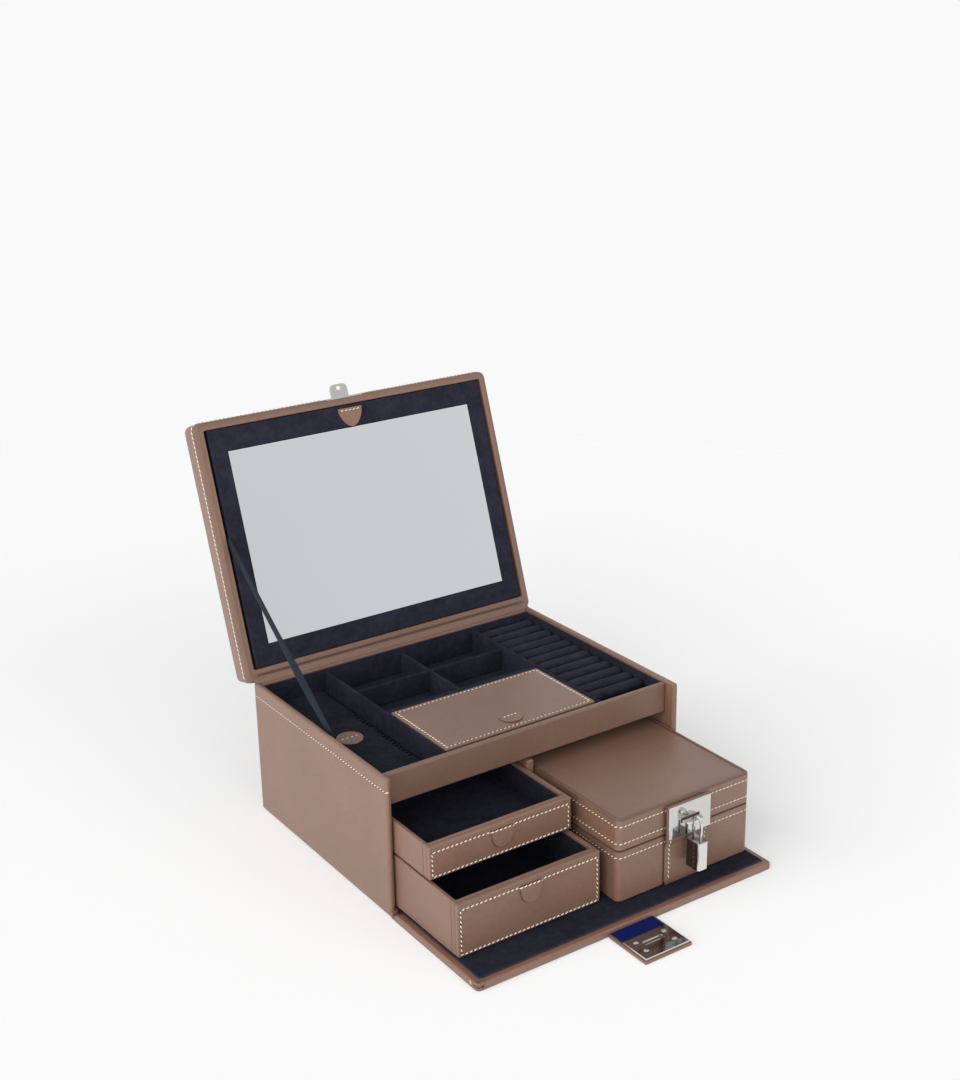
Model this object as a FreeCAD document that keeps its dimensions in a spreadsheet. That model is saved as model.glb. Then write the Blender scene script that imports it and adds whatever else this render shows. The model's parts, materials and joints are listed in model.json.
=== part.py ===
# Leather jewellery box with a mirror lid, a fall front, two drawers and a small locked casket.
#
# Millimetres. +X runs to the right along the front, +Y to the back and +Z up. The origin is the
# centre of the case's base, on the table. The box stands open: the lid leans back on its stay, the
# fall front lies flat on the table, and both drawers and the casket are pulled part of the way out.

import FreeCAD
import Part
import Sketcher
import math
import os
import re

Vector = FreeCAD.Vector

# Driving sizes: alias, millimetres or degrees or a count, and what it measures.
SIZES = [
    # Case
    ("case_width", 280, "outside width of the case, the lid and the fall front"),
    ("case_depth", 210, "outside depth of the case"),
    ("wall", 5, "leather covered side and back boards"),
    ("wall_round", 2, "rounding of the wrapped edges of the side boards"),
    ("base_thickness", 6.7, "base board"),
    ("lining", 1, "suede lining on its card"),
    ("spine_drop", 1, "back board's top below the case's top, room for the hinge leather"),
    # Drawers and their bay
    ("bay_divider_thickness", 6.6, "upright board between the drawers and the casket"),
    ("bay_divider_offset", 2.2, "bay divider's middle to the left of the box's middle"),
    ("shelf_thickness", 1.5, "shelf under the upper drawer"),
    ("running_gap", 0.3, "drawer above what carries it, and lower drawer under the shelf"),
    ("drawer_side_gap", 0.8, "drawer to each side of its bay"),
    ("drawer_back_gap", 5, "shut drawer to the back board"),
    ("drawer_wall", 3.5, "drawer sides and back"),
    ("drawer_floor", 3, "drawer floor"),
    ("drawer_front_thickness", 4, "applied drawer front"),
    ("drawer_round", 1, "rounding of the drawer front's edges"),
    ("drawer_lining_drop", 2.5, "drawer lining's rim below the drawer's rim"),
    ("lower_drawer_height", 43.9, "lower drawer"),
    ("upper_drawer_height", 27, "upper drawer"),
    ("upper_drawer_gap", 5.5, "upper drawer to the tray floor"),
    ("lower_drawer_pull", 83.3, "lower drawer's face in front of the case"),
    ("upper_drawer_pull", 47.7, "upper drawer's face in front of the case"),
    ("drawer_tab_width", 20, "leather tab that hangs on a drawer front"),
    ("drawer_tab_length", 15, "leather tab that hangs on a drawer front"),
    ("drawer_tab_drop", 4.6, "drawer tab's sewn edge below the drawer's rim"),
    ("tab_thickness", 1.2, "all leather pull tabs"),
    # Front rail and top tray
    ("rail_recess", 10, "rail's face behind the case's front"),
    ("rail_thickness", 5, "front rail"),
    ("rail_lift", 2.5, "rail's lower edge above the tray floor's underside"),
    ("rail_drop", 2, "rail's top below the case's top"),
    ("tray_floor_thickness", 2.5, "tray floor board"),
    ("tray_depth", 27, "tray's lined floor below the case's top"),
    ("tray_lining_drop", 3, "tray lining's rim below the case's top"),
    ("divider_thickness", 3, "suede covered tray dividers"),
    ("divider_drop", 5, "long dividers' tops below the case's top"),
    ("grid_drop", 7.5, "small dividers' tops below the case's top"),
    ("centre_width", 147, "clear width of the tray's middle bay"),
    ("compartment_depth", 94, "covered compartment, front to back"),
    # Compartment lid
    ("pad_thickness", 5, "compartment lid"),
    ("pad_side_gap", 1, "compartment lid to each long divider"),
    ("pad_front_gap", 7, "compartment lid to the tray's front lining"),
    ("pad_hinge_depth", 6, "hinge strip behind the compartment lid"),
    ("pad_drop", 5.5, "compartment lid's top below the case's top"),
    ("pad_seat_gap", 0.2, "compartment lid above its ledge"),
    ("pad_ledge_depth", 9, "ledge under the compartment lid's front"),
    ("pad_strip_drop", 1, "hinge strip below the compartment lid's top"),
    ("pad_strip_thickness", 2, "hinge strip of the compartment lid"),
    ("pad_tab_length", 12, "compartment lid's pull tab"),
    ("pad_tab_inset", 19, "compartment tab's sewn edge behind the lid's front edge"),
    # Ring cushions
    ("roll_drop", 7.5, "ring rolls' crowns below the case's top"),
    ("roll_width", 13.2, "ring roll at its foot"),
    ("roll_spacing", 0.9, "gap between two ring rolls at their feet"),
    ("roll_height", 6.4, "ring roll's crown above the bed"),
    ("roll_start", 24, "front roll's middle behind the tray's front lining"),
    ("roll_draw", 4, "length over which a roll's end is drawn in"),
    ("roll_end_share", 0.84, "roll's end section against its middle"),
    ("roll_end_gap", 0.4, "ring roll ends to their neighbours"),
    # Necklace bay
    ("necklace_lift", 4, "space under the necklace panel"),
    ("necklace_thickness", 2, "necklace panel"),
    ("necklace_gap", 1.2, "necklace panel to the tray's lining"),
    ("necklace_slot", 4.8, "slot beside the panel, where the chains hang"),
    ("necklace_ledge", 6, "ledges that carry the necklace panel's ends"),
    ("notch_width", 2.4, "chain notches in the panel's edge"),
    ("notch_depth", 3, "chain notches in the panel's edge"),
    ("notch_pitch", 4.9, "chain notch to chain notch"),
    ("front_notches", 11, "chain notches in the front group"),
    ("back_notches", 6, "chain notches in the back group"),
    ("front_notch_start", 40, "front group's first notch behind the panel's front end"),
    ("back_notch_start", 101, "back group's first notch behind the panel's front end"),
    ("disc_diameter", 22, "leather disc that lifts the necklace panel"),
    # Casket
    ("casket_gap", 1, "casket to each side of its bay"),
    ("casket_floor_gap", 0.2, "casket above the floor lining"),
    ("casket_top_gap", 8.4, "casket to the tray floor"),
    ("casket_recess", 24.2, "shut casket's face behind the case's front, room for its padlock"),
    ("casket_back_gap", 2.8, "shut casket to the back board"),
    ("casket_lid_height", 26.6, "casket lid"),
    ("casket_parting", 0.4, "gap between the casket's base and lid"),
    ("casket_corner", 7, "rounding of the casket's upright corners"),
    ("casket_wall", 4, "casket sides"),
    ("casket_floor", 4, "casket floor and top"),
    ("casket_pull", 93.8, "casket's face in front of the case"),
    ("casket_hinge_width", 100, "leather hinge at the casket's back"),
    ("casket_hinge_height", 22, "leather hinge at the casket's back"),
    ("strap_margin", 1.25, "leather beyond the edges of a hasp plate"),
    ("strap_thickness", 2, "leather strap on the casket's front"),
    ("strap_gap", 0.5, "strap to the staple's base plate under it"),
    ("strap_slope", 6, "height over which the strap comes forward"),
    ("strap_foot", 0.3, "strap's lower end above the casket's underside"),
    # Hasp plates, staples and padlock
    ("plate_width", 41.5, "slotted hasp plates"),
    ("plate_height", 27, "slotted hasp plates"),
    ("plate_thickness", 1.4, "slotted hasp plates"),
    ("plate_bevel", 0.5, "bevel round a hasp plate's face"),
    ("slot_side_gap", 0.8, "staple's tongue to each end of its slot"),
    ("slot_gap", 1.3, "staple's tongue to the slot above and below it"),
    ("hasp_rise", 10.7, "casket's staple above the casket lid's lower edge"),
    ("tongue_width", 17, "staple's tongue"),
    ("tongue_reach", 7.6, "staple's tongue in front of a hasp plate"),
    ("tongue_thickness", 1.8, "staple's tongue"),
    ("tongue_round", 4.5, "rounding of the tongue's corners"),
    ("staple_hole", 4.2, "hole in the tongue, diameter"),
    ("staple_hole_edge", 3.5, "hole's middle to the tongue's end"),
    ("staple_base_width", 36, "staple's base plate"),
    ("staple_base_height", 17, "staple's base plate"),
    ("staple_base_thickness", 1.5, "staple's base plate"),
    ("padlock_width", 15.5, "padlock body"),
    ("padlock_thickness", 10.4, "padlock body"),
    ("padlock_height", 23.3, "padlock body"),
    ("padlock_bevel", 1.6, "bevel of the padlock body's upright edges"),
    ("padlock_hang", 15, "padlock body's top below the staple's tongue"),
    ("shackle_wire", 2.6, "shackle, diameter"),
    ("shackle_spacing", 8.5, "shackle's legs, middle to middle"),
    ("shackle_seat", 6, "shackle's legs inside the body"),
    ("shackle_fit", 0.05, "shackle's legs to their holes"),
    ("shackle_play", 1.3, "shackle's bow above the tongue"),
    # Lid and mirror panel
    ("lid_angle", 108.46, "lid's opening from shut, in degrees"),
    ("lid_thickness", 30, "lid"),
    ("lid_board", 3.5, "lid's top board"),
    ("lid_round", 3, "rounding of the lid's outer edges"),
    ("lid_side_rim", 3.9, "lid's side rims"),
    ("lid_front_rim", 5.8, "lid's front rim"),
    ("lid_back_band", 9.7, "lid's band along the hinge"),
    ("hinge_leather", 0.8, "hinge leather of the lid and the casket"),
    ("hinge_margin", 0.6, "hinge leather inside the edges of what it covers"),
    ("frame_side_gap", 2, "mirror panel to the lid's side rims"),
    ("frame_end_gap", 0.6, "mirror panel to the lid's front rim and hinge band"),
    ("frame_thickness", 4, "mirror panel"),
    ("frame_set_back", 0.5, "mirror panel's face behind the lid's rim"),
    ("mirror_side_margin", 15, "mirror panel beside the glass"),
    ("mirror_low_margin", 17.3, "mirror panel between the glass and the hinge band"),
    ("mirror_top_margin", 19.2, "mirror panel between the glass and its free edge"),
    ("mirror_thickness", 2, "mirror glass"),
    ("mirror_fit", 0.15, "mirror glass to its recess"),
    ("mirror_set_back", 0.2, "mirror's face behind the panel's face"),
    ("mirror_tab_width", 23.6, "leather tab on the mirror panel"),
    ("mirror_tab_length", 16.6, "leather tab on the mirror panel"),
    ("mirror_tab_inset", 2.5, "mirror tab's sewn edge inside the panel's free edge"),
    ("lid_staple_level", 9.4, "lid's staple above the lid's rim"),
    ("hasp_offset", 2, "lid's staple and the fall front's hasp to the left of the middle"),
    # Stay
    ("stay_width", 8, "ribbon stay"),
    ("stay_thickness", 0.6, "ribbon stay"),
    ("stay_on_lid", 120, "stay's upper end from the hinge, along the lid"),
    ("stay_on_case", 91, "stay's lower end behind the case's front"),
    ("stay_drop", 3, "stay's lower end below the case's top"),
    ("stay_clearance", 0.3, "stay to the lid's rim and to the tray's lining"),
    # Fall front and its hasp
    ("flap_top_gap", 1.5, "shut fall front's free edge below the case's top"),
    ("flap_hinge_gap", 6, "fall front's rear edge in front of the case"),
    ("flap_step", 0.8, "fall front's lining below the floor lining"),
    ("flap_lining", 0.7, "fall front's suede lining"),
    ("flap_rim", 5, "leather rim round the fall front's lining"),
    ("flap_round", 2, "rounding of the fall front's edges"),
    ("flap_strip", 1.4, "leather that joins the fall front to the base"),
    ("flap_strip_gap", 0.3, "joining leather to the fall front's board"),
    ("hasp_tab_length", 43, "leather tab of the fall front's hasp"),
    ("hasp_tab_leather", 2.4, "leather tab of the fall front's hasp"),
    ("hasp_tab_gap", 0.3, "leather tab to the fall front's edge"),
    ("hasp_tab_lining", 0.7, "leather lining of the tab"),
    ("hasp_tab_rim", 2, "tab's leather beyond its lining, each side"),
    ("hasp_slot_shift", 3, "hasp plate's slot nearer to the fall front than its middle"),
    ("screw_head", 4.6, "hasp plate's screws, diameter of the head"),
    ("screw_dome", 1.1, "hasp plate's screws, height of the head"),
    ("screw_side_inset", 7.5, "screws inside the hasp plate's ends"),
    ("screw_near_inset", 6, "near screws inside the hasp plate's edge"),
    ("screw_far_inset", 9, "far screws inside the hasp plate's edge"),
]
SIZE = {alias: value for alias, value, _ in SIZES}

doc = FreeCAD.newDocument("jewellery_box")
sheet = doc.addObject("Spreadsheet::Sheet", "Sizes")
for row, (alias, value, meaning) in enumerate(SIZES, start=1):
    sheet.set(f"A{row}", str(value))
    sheet.setAlias(f"A{row}", alias)
    sheet.set(f"B{row}", meaning)
doc.recompute()

# Planes, levels and spans that several pieces share, worked out from the driving sizes.
PLACES = [
    ("case_front", "-case_depth / 2"),
    ("case_back", "case_depth / 2"),
    ("inner_side", "case_width / 2 - wall"),
    ("inner_back", "case_depth / 2 - wall"),
    ("floor_level", "base_thickness + lining"),
    ("bay_left", "-bay_divider_offset - bay_divider_thickness / 2"),
    ("bay_right", "-bay_divider_offset + bay_divider_thickness / 2"),
    ("lower_drawer_level", "floor_level + running_gap"),
    ("shelf_level", "lower_drawer_level + lower_drawer_height + running_gap"),
    ("upper_drawer_level", "shelf_level + shelf_thickness + running_gap"),
    ("tray_level", "upper_drawer_level + upper_drawer_height + upper_drawer_gap"),
    ("tray_bottom", "tray_level + tray_floor_thickness + lining"),
    ("case_top", "tray_bottom + tray_depth"),
    ("rail_face", "case_front + rail_recess"),
    ("rail_back", "rail_face + rail_thickness"),
    ("tray_front", "rail_back + lining"),
    ("tray_back", "inner_back - lining"),
    ("tray_side", "inner_side - lining"),
    ("divider_face", "centre_width / 2 + divider_thickness"),
    ("compartment_back", "tray_front + compartment_depth"),
    ("pad_front", "tray_front + pad_front_gap"),
    ("pad_back", "compartment_back - pad_hinge_depth"),
    ("pad_top", "case_top - pad_drop"),
    ("casket_front", "case_front - casket_pull"),
    ("casket_depth", "inner_back - casket_back_gap - case_front - casket_recess"),
    ("casket_bottom", "floor_level + casket_floor_gap"),
    ("casket_left", "bay_right + casket_gap"),
    ("casket_right", "inner_side - casket_gap"),
    ("casket_middle", "(casket_left + casket_right) / 2"),
    ("casket_lid_level", "tray_level - casket_top_gap - casket_lid_height"),
    ("casket_seam", "casket_lid_level - casket_parting"),
    ("hasp_level", "casket_lid_level + hasp_rise"),
    ("strap_standoff", "staple_base_thickness + strap_gap + strap_thickness"),
    ("tongue_length", "strap_standoff + plate_thickness + tongue_reach"),
    ("slot_half_width", "tongue_width / 2 + slot_side_gap"),
    ("slot_half_height", "tongue_thickness / 2 + slot_gap"),
    ("padlock_top", "hasp_level - padlock_hang"),
    ("flap_top", "floor_level - flap_step"),
    ("flap_board_top", "flap_top - flap_lining"),
    ("flap_edge", "case_front - case_top + flap_top_gap"),
    ("flap_rear", "case_front - flap_hinge_gap"),
    ("lid_depth", "case_depth + flap_top"),
    ("lid_inner_side", "case_width / 2 - lid_side_rim"),
    ("lid_inner_front", "lid_depth - lid_front_rim"),
    ("panel_low", "lid_back_band + frame_end_gap"),
    ("panel_top", "lid_inner_front - frame_end_gap"),
    ("panel_side", "lid_inner_side - frame_side_gap"),
]

places = doc.addObject("App::VarSet", "Places")
for name, expression in PLACES:
    places.addProperty("App::PropertyFloat", name)


def bound(text):
    """Turn plain names into references to the sheet's cells and to the shared places."""
    shared = {name for name, _ in PLACES}

    def reference(match):
        return f"{'Places' if match[0] in shared else 'Sizes'}.{match[0]}"

    return re.sub(r"\b(?!sin\b|cos\b|asin\b)[a-z][a-z_]*", reference, text)


for name, expression in PLACES:
    places.setExpression(name, bound(expression))
doc.recompute()


nodes = []


def keep(piece, name):
    """Name a finished sub-part and put it on the list of what is written."""
    piece.Label = name
    nodes.append(piece)
    return piece


def box_of(name):
    """The outer box of a sub-part that is already made."""
    doc.recompute()
    return next(piece for piece in nodes if piece.Label == name).Shape.BoundBox


def place(piece, x="0", y="0", z="0"):
    """Bind where a piece's own origin stands."""
    for axis, value in zip("xyz", (x, y, z)):
        piece.setExpression(f"Placement.Base.{axis}", bound(value))


def board(name, x, y, z):
    """A flat board between two planes on each axis."""
    piece = doc.addObject("Part::Box", name)
    for side, axis, (low, high) in zip(("Length", "Width", "Height"), "xyz", (x, y, z)):
        piece.setExpression(side, bound(f"({high}) - ({low})"))
        piece.setExpression(f"Placement.Base.{axis}", bound(low))
    return piece


def rounded_board(name, x, y, z, radius, chosen):
    """A board with some edges rounded; chosen takes an edge's middle, its direction and the board's box."""
    blank = board(f"{name}_blank", x, y, z)
    doc.recompute()
    box = blank.Shape.BoundBox
    edges = enumerate(blank.Shape.Edges, start=1)
    picked = [number for number, edge in edges if chosen(*middle(edge), box)]
    piece = doc.addObject("Part::Fillet", name)
    piece.Base = blank
    piece.Edges = [(number, SIZE[radius], SIZE[radius]) for number in picked]
    return piece


def middle(edge):
    """An edge's middle point and its direction there."""
    half = (edge.FirstParameter + edge.LastParameter) / 2
    return edge.valueAt(half), edge.tangentAt(half)


def body(name, x="0", y="0", z="0"):
    """An empty body whose own origin stands at the given place."""
    piece = doc.addObject("PartDesign::Body", name)
    place(piece, x, y, z)
    return piece


def lid_body(name):
    """A body drawn as on the shut lid, hinge line at its origin, and turned open about that line."""
    piece = body(name, "0", "case_back", "case_top")
    piece.setExpression("Placement.Rotation.Axis.x", "-1")
    piece.setExpression("Placement.Rotation.Axis.z", "0")
    piece.setExpression("Placement.Rotation.Angle", bound("lid_angle"))
    return piece


def new_sketch(piece, name, role, lift):
    """A sketch on one of the body's own origin planes, lifted along the plane's normal."""
    sketch = piece.newObject("Sketcher::SketchObject", name)
    plane = next(feature for feature in piece.Origin.OriginFeatures if feature.Role == role)
    sketch.AttachmentSupport = [(plane, "")]
    sketch.MapMode = "FlatFace"
    sketch.setExpression("AttachmentOffset.Base.z", bound(lift))
    return sketch


def fix_point(sketch, geometry, point, across, up, label):
    """Bind a sketch point's two distances from the sketch's origin."""
    for kind, value in (("DistanceX", across), ("DistanceY", up)):
        name = f"{label}_{kind[-1].lower()}"
        number = sketch.addConstraint(Sketcher.Constraint(kind, -1, 1, geometry, point, 1.0))
        sketch.renameConstraint(number, name)
        sketch.setExpression(f"Constraints.{name}", bound(value))


def polygon(piece, name, points, role="XY_Plane", lift="0"):
    """A closed outline of straight lines through points given as pairs of expressions."""
    sketch = new_sketch(piece, name, role, lift)
    count = len(points)
    turns = [2 * math.pi * index / count for index in range(count)]
    starts = [Vector(math.cos(turn), math.sin(turn), 0) for turn in turns]
    for index in range(count):
        sketch.addGeometry(Part.LineSegment(starts[index], starts[(index + 1) % count]))
    for index in range(count):
        sketch.addConstraint(Sketcher.Constraint("Coincident", index, 2, (index + 1) % count, 1))
    for index, (across, up) in enumerate(points):
        fix_point(sketch, index, 1, across, up, f"corner{index}")
    return sketch


def rectangle(piece, name, across, up, role="XY_Plane", lift="0"):
    """A rectangle between two lines across and two lines up."""
    (left, right), (low, high) = across, up
    corners = [(left, low), (right, low), (right, high), (left, high)]
    return polygon(piece, name, corners, role, lift)


def circles(piece, name, centres, diameter, lift="0"):
    """Equal level circles at the given centres."""
    sketch = new_sketch(piece, name, "XY_Plane", lift)
    for index, (across, up) in enumerate(centres):
        sketch.addGeometry(Part.Circle(Vector(index, 0, 0), Vector(0, 0, 1), 1.0))
        fix_point(sketch, index, 3, across, up, f"centre{index}")
        number = sketch.addConstraint(Sketcher.Constraint("Diameter", index, 1.0))
        sketch.renameConstraint(number, f"size{index}")
        sketch.setExpression(f"Constraints.size{index}", bound(diameter))
    return sketch


def pad(piece, sketch, length):
    """Thicken an outline along its plane's normal."""
    feature = piece.newObject("PartDesign::Pad", f"{sketch.Name}_pad")
    feature.Profile = sketch
    feature.setExpression("Length", bound(length))
    doc.recompute()
    return feature


def pocket(piece, sketch, depth, along_normal=False):
    """Cut an outline into the solid, against its plane's normal unless told otherwise."""
    before = piece.Shape.Volume
    feature = piece.newObject("PartDesign::Pocket", f"{sketch.Name}_cut")
    feature.Profile = sketch
    feature.Reversed = along_normal
    feature.setExpression("Length", bound(depth))
    doc.recompute()
    if piece.Shape.Volume > before * 0.999999:
        raise RuntimeError(f"{feature.Name} cuts nothing")
    return feature


def dress(piece, base, kind, property_name, size, chosen):
    """Round or bevel the chosen edges of a body's last feature."""
    edges = enumerate(base.Shape.Edges, start=1)
    picked = [f"Edge{number}" for number, edge in edges if chosen(*middle(edge))]
    feature = piece.newObject(f"PartDesign::{kind}", f"{piece.Name}_{kind.lower()}{len(piece.Group)}")
    feature.Base = (base, picked)
    feature.setExpression(property_name, bound(size))
    doc.recompute()
    return feature


def round_edges(piece, base, radius, chosen):
    """Round the chosen edges."""
    return dress(piece, base, "Fillet", "Radius", radius, chosen)


def upright(_, direction):
    """Edges that run up."""
    return abs(direction.z) > 0.99


def near(value, target):
    """Same place, to a hundredth of a millimetre."""
    return abs(value - target) < 0.01


def open_box(name, across, along, low, high, wall, floor, corner=None):
    """A box without a top: an outline thickened upwards and hollowed, its corners rounded if asked."""
    (left, right), (front, back) = across, along
    piece = body(name, left, front, low)
    width = f"({right} - ({left}))"
    depth = f"({back} - ({front}))"
    height = f"({high} - ({low}))"
    block = pad(piece, rectangle(piece, f"{name}_outline", ("0", width), ("0", depth)), height)
    if corner:
        round_edges(piece, block, corner, upright)
    inside = (wall, f"{width} - {wall}"), (wall, f"{depth} - {wall}")
    hollow = pocket(piece, rectangle(piece, f"{name}_hollow", *inside, lift=height), f"{height} - {floor}")
    if corner:
        round_hollow(piece, hollow, wall, f"{corner} - {wall}")
    return piece


def round_hollow(piece, base, wall, radius):
    """Round the upright corners of a hollow that lies one wall inside its outline."""
    box = base.Shape.BoundBox
    half_width = box.XLength / 2 - SIZE[wall]
    half_depth = box.YLength / 2 - SIZE[wall]

    def hollow_corner(point, direction):
        across = abs(point.x - box.Center.x)
        along = abs(point.y - box.Center.y)
        return upright(point, direction) and near(across, half_width) and near(along, half_depth)

    return round_edges(piece, base, radius, hollow_corner)


# Case

def make_case_boards():
    """Base, floor lining, side boards, back board, front rail and the bay divider."""
    inside = ("-inner_side", "inner_side")
    ground = inside, ("case_front", "inner_back")
    keep(board("base_board", *ground, ("0", "base_thickness")), "base_board")
    keep(board("floor_lining", *ground, ("base_thickness", "floor_level")), "floor_lining")

    def wrapped(point, direction, box):
        outer = box.XMin if box.Center.x < 0 else box.XMax
        outer_back = near(point.y, box.YMax) and near(point.x, outer)
        return abs(direction.x) < 0.5 and (near(point.z, box.ZMax) or near(point.y, box.YMin) or outer_back)

    side = ("case_front", "case_back"), ("0", "case_top")
    for name, x in (("left_side_board", ("-case_width / 2", "-inner_side")),
                    ("right_side_board", ("inner_side", "case_width / 2"))):
        keep(rounded_board(name, x, *side, "wall_round", wrapped), name)
    spine = ("inner_back", "case_back"), ("0", "case_top - spine_drop")
    keep(board("back_board", inside, *spine), "back_board")
    rail = ("rail_face", "rail_back"), ("tray_level + rail_lift", "case_top - rail_drop")
    keep(board("front_rail", inside, *rail), "front_rail")
    bay = ("rail_face", "inner_back"), ("floor_level", "tray_level")
    keep(board("bay_divider", ("bay_left", "bay_right"), *bay), "bay_divider")


def make_tray():
    """Tray floor, its suede lining and the dividers; the two small dividers are lapped where they cross."""
    inside = ("-inner_side", "inner_side"), ("rail_back", "inner_back")
    floor_top = "(tray_level + tray_floor_thickness)"
    keep(board("tray_floor", *inside, ("tray_level", floor_top)), "tray_floor")
    rim = "(case_top - tray_lining_drop)"
    keep(open_box("tray_lining", *inside, floor_top, rim, "lining", "lining"), "tray_lining")
    run = ("tray_front", "tray_back"), ("tray_bottom", "case_top - divider_drop")
    half_centre = "(centre_width / 2)"
    keep(board("left_divider", ("-divider_face", f"-{half_centre}"), *run), "left_divider")
    keep(board("right_divider", (half_centre, "divider_face"), *run), "right_divider")
    centre = (f"-{half_centre}", half_centre)
    grid_top = "(case_top - grid_drop)"
    grid_front = "(compartment_back + divider_thickness)"
    wall = ("compartment_back", grid_front), ("tray_bottom", grid_top)
    keep(board("compartment_divider", centre, *wall), "compartment_divider")
    crossing = f"(({grid_front} + tray_back) / 2)"
    half = "(divider_thickness / 2)"
    lap = f"(({grid_top} - tray_bottom) / 2)"
    height = ("0", f"2 * {lap}")
    cross = body("grid_cross_divider", "0", crossing, "tray_bottom")
    pad(cross, rectangle(cross, "cross_outline", centre, height, "XZ_Plane", f"-{half}"), "divider_thickness")
    upper_lap = (f"-{half}", half), (lap, f"2 * {lap}")
    pocket(cross, rectangle(cross, "cross_lap", *upper_lap, "XZ_Plane", half), "divider_thickness")
    keep(cross, "grid_cross_divider")
    along = body("grid_middle_divider", "0", crossing, "tray_bottom")
    length = (f"{grid_front} - {crossing}", f"tray_back - {crossing}")
    outline = rectangle(along, "middle_outline", length, height, "YZ_Plane", f"-{half}")
    pad(along, outline, "divider_thickness")
    lower_lap = (f"-{half}", half), ("0", lap)
    pocket(along, rectangle(along, "middle_lap", *lower_lap, "YZ_Plane", half), "divider_thickness")
    keep(along, "grid_middle_divider")


def make_tab(name, place_at, length, role):
    """A leather pull tab: straight at its sewn edge and rounded to a tongue at its free end."""
    piece = body(name, *place_at)
    half = "(drawer_tab_width / 2)"
    outline = rectangle(piece, f"{name}_outline", (f"-{half}", half), (f"-{length}", "0"), role)
    tab = pad(piece, outline, "tab_thickness")
    box = tab.Shape.BoundBox

    def free_corner(point, direction):
        if role == "XY_Plane":
            return upright(point, direction) and near(point.y, box.YMin)
        return abs(direction.y) > 0.99 and near(point.z, box.ZMin)

    round_edges(piece, tab, f"{half} - tab_thickness", free_corner)
    keep(piece, name)


def make_compartment_lid():
    """Leather covered lid over the front compartment, its pull tab, its hinge strip and its ledge."""
    bottom = "(pad_top - pad_thickness)"
    centre = ("-centre_width / 2", "centre_width / 2")
    side = "(centre_width / 2 - pad_side_gap)"
    cover = ("pad_front", "pad_back"), (bottom, "pad_top")
    keep(board("compartment_lid", (f"-{side}", side), *cover), "compartment_lid")
    make_tab("compartment_tab", ("0", "pad_front + pad_tab_inset", "pad_top"), "pad_tab_length", "XY_Plane")
    strip_top = "(pad_top - pad_strip_drop)"
    strip = ("pad_back", "compartment_back"), (f"{strip_top} - pad_strip_thickness", strip_top)
    keep(board("compartment_hinge_strip", centre, *strip), "compartment_hinge_strip")
    ledge = ("tray_front", "tray_front + pad_ledge_depth"), ("tray_bottom", f"{bottom} - pad_seat_gap")
    keep(board("compartment_ledge", centre, *ledge), "compartment_ledge")


def make_ring_cushions():
    """Foam bed and as many soft ring rolls as fit on it: crowned, with drawn in ends."""
    bed_top = "(case_top - roll_drop - roll_height)"
    bed = ("divider_face", "tray_side"), ("tray_front", "tray_back"), ("tray_bottom", bed_top)
    keep(board("ring_bed", *bed), "ring_bed")
    box = box_of("ring_bed")
    start = box.XMin + SIZE["roll_end_gap"]
    end = box.XMax - SIZE["roll_end_gap"]
    draw = SIZE["roll_draw"]
    share = SIZE["roll_end_share"]
    stations = ((start, share), (start + draw, 1.0), (end - draw, 1.0), (end, share))
    pitch = SIZE["roll_width"] + SIZE["roll_spacing"]
    room = box.YLength - SIZE["roll_start"] - SIZE["roll_width"] / 2
    rolls = []
    for index in range(int(room / pitch) + 1):
        centre = box.YMin + SIZE["roll_start"] + index * pitch
        sections = [roll_section(x, centre, box.ZMax, size) for x, size in stations]
        rolls.append(Part.makeLoft(sections, True, True))
    piece = doc.addObject("Part::Feature", "ring_rolls")
    piece.Shape = Part.makeCompound(rolls)
    keep(piece, "ring_rolls")


def roll_section(x, centre, foot, share):
    """One section of a ring roll: a flat foot and a crown that is just under a half circle."""
    half = SIZE["roll_width"] / 2 * share
    left = Vector(x, centre - half, foot)
    right = Vector(x, centre + half, foot)
    crown = Part.Arc(right, Vector(x, centre, foot + SIZE["roll_height"] * share), left).toShape()
    return Part.Wire([Part.LineSegment(left, right).toShape(), crown])


def make_necklace_bay():
    """Lift-out panel with chain notches in its edge, its leather disc and the two ledges that carry it."""
    bottom = "(tray_bottom + necklace_lift)"
    left = "(-tray_side + necklace_gap)"
    front = "(tray_front + necklace_gap)"
    width = "(tray_side - divider_face - necklace_gap - necklace_slot)"
    length = "(tray_back - tray_front - 2 * necklace_gap)"
    panel = body("necklace_panel", left, front, bottom)
    pad(panel, rectangle(panel, "panel_outline", ("0", width), ("0", length)), "necklace_thickness")
    for name in ("front_notch", "back_notch"):
        cut = (f"{width} - notch_depth", width), (f"{name}_start", f"{name}_start + notch_width")
        notch = rectangle(panel, name, *cut, lift="necklace_thickness")
        first = pocket(panel, notch, "necklace_thickness")
        row = panel.newObject("PartDesign::LinearPattern", f"{name}_row")
        row.Originals = [first]
        row.Direction = (notch, ["V_Axis"])
        row.Mode = "Spacing"
        row.setExpression("Offset", bound("notch_pitch"))
        row.setExpression("Occurrences", bound(f"{name}es"))
        panel.Tip = row
        doc.recompute()
    keep(panel, "necklace_panel")
    disc = doc.addObject("Part::Cylinder", "necklace_disc")
    disc.setExpression("Radius", bound("disc_diameter / 2"))
    disc.setExpression("Height", bound("tab_thickness"))
    place(disc, f"{left} + {width} / 2", f"{front} + {length} / 2", f"{bottom} + necklace_thickness")
    keep(disc, "necklace_disc")
    across = ("-tray_side", "-divider_face")
    heights = ("tray_bottom", bottom)
    ledges = doc.addObject("Part::Compound", "necklace_ledges")
    ledges.Links = [
        board("front_ledge", across, ("tray_front", "tray_front + necklace_ledge"), heights),
        board("back_ledge", across, ("tray_back - necklace_ledge", "tray_back"), heights),
    ]
    keep(ledges, "necklace_ledges")


# Drawers

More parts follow.
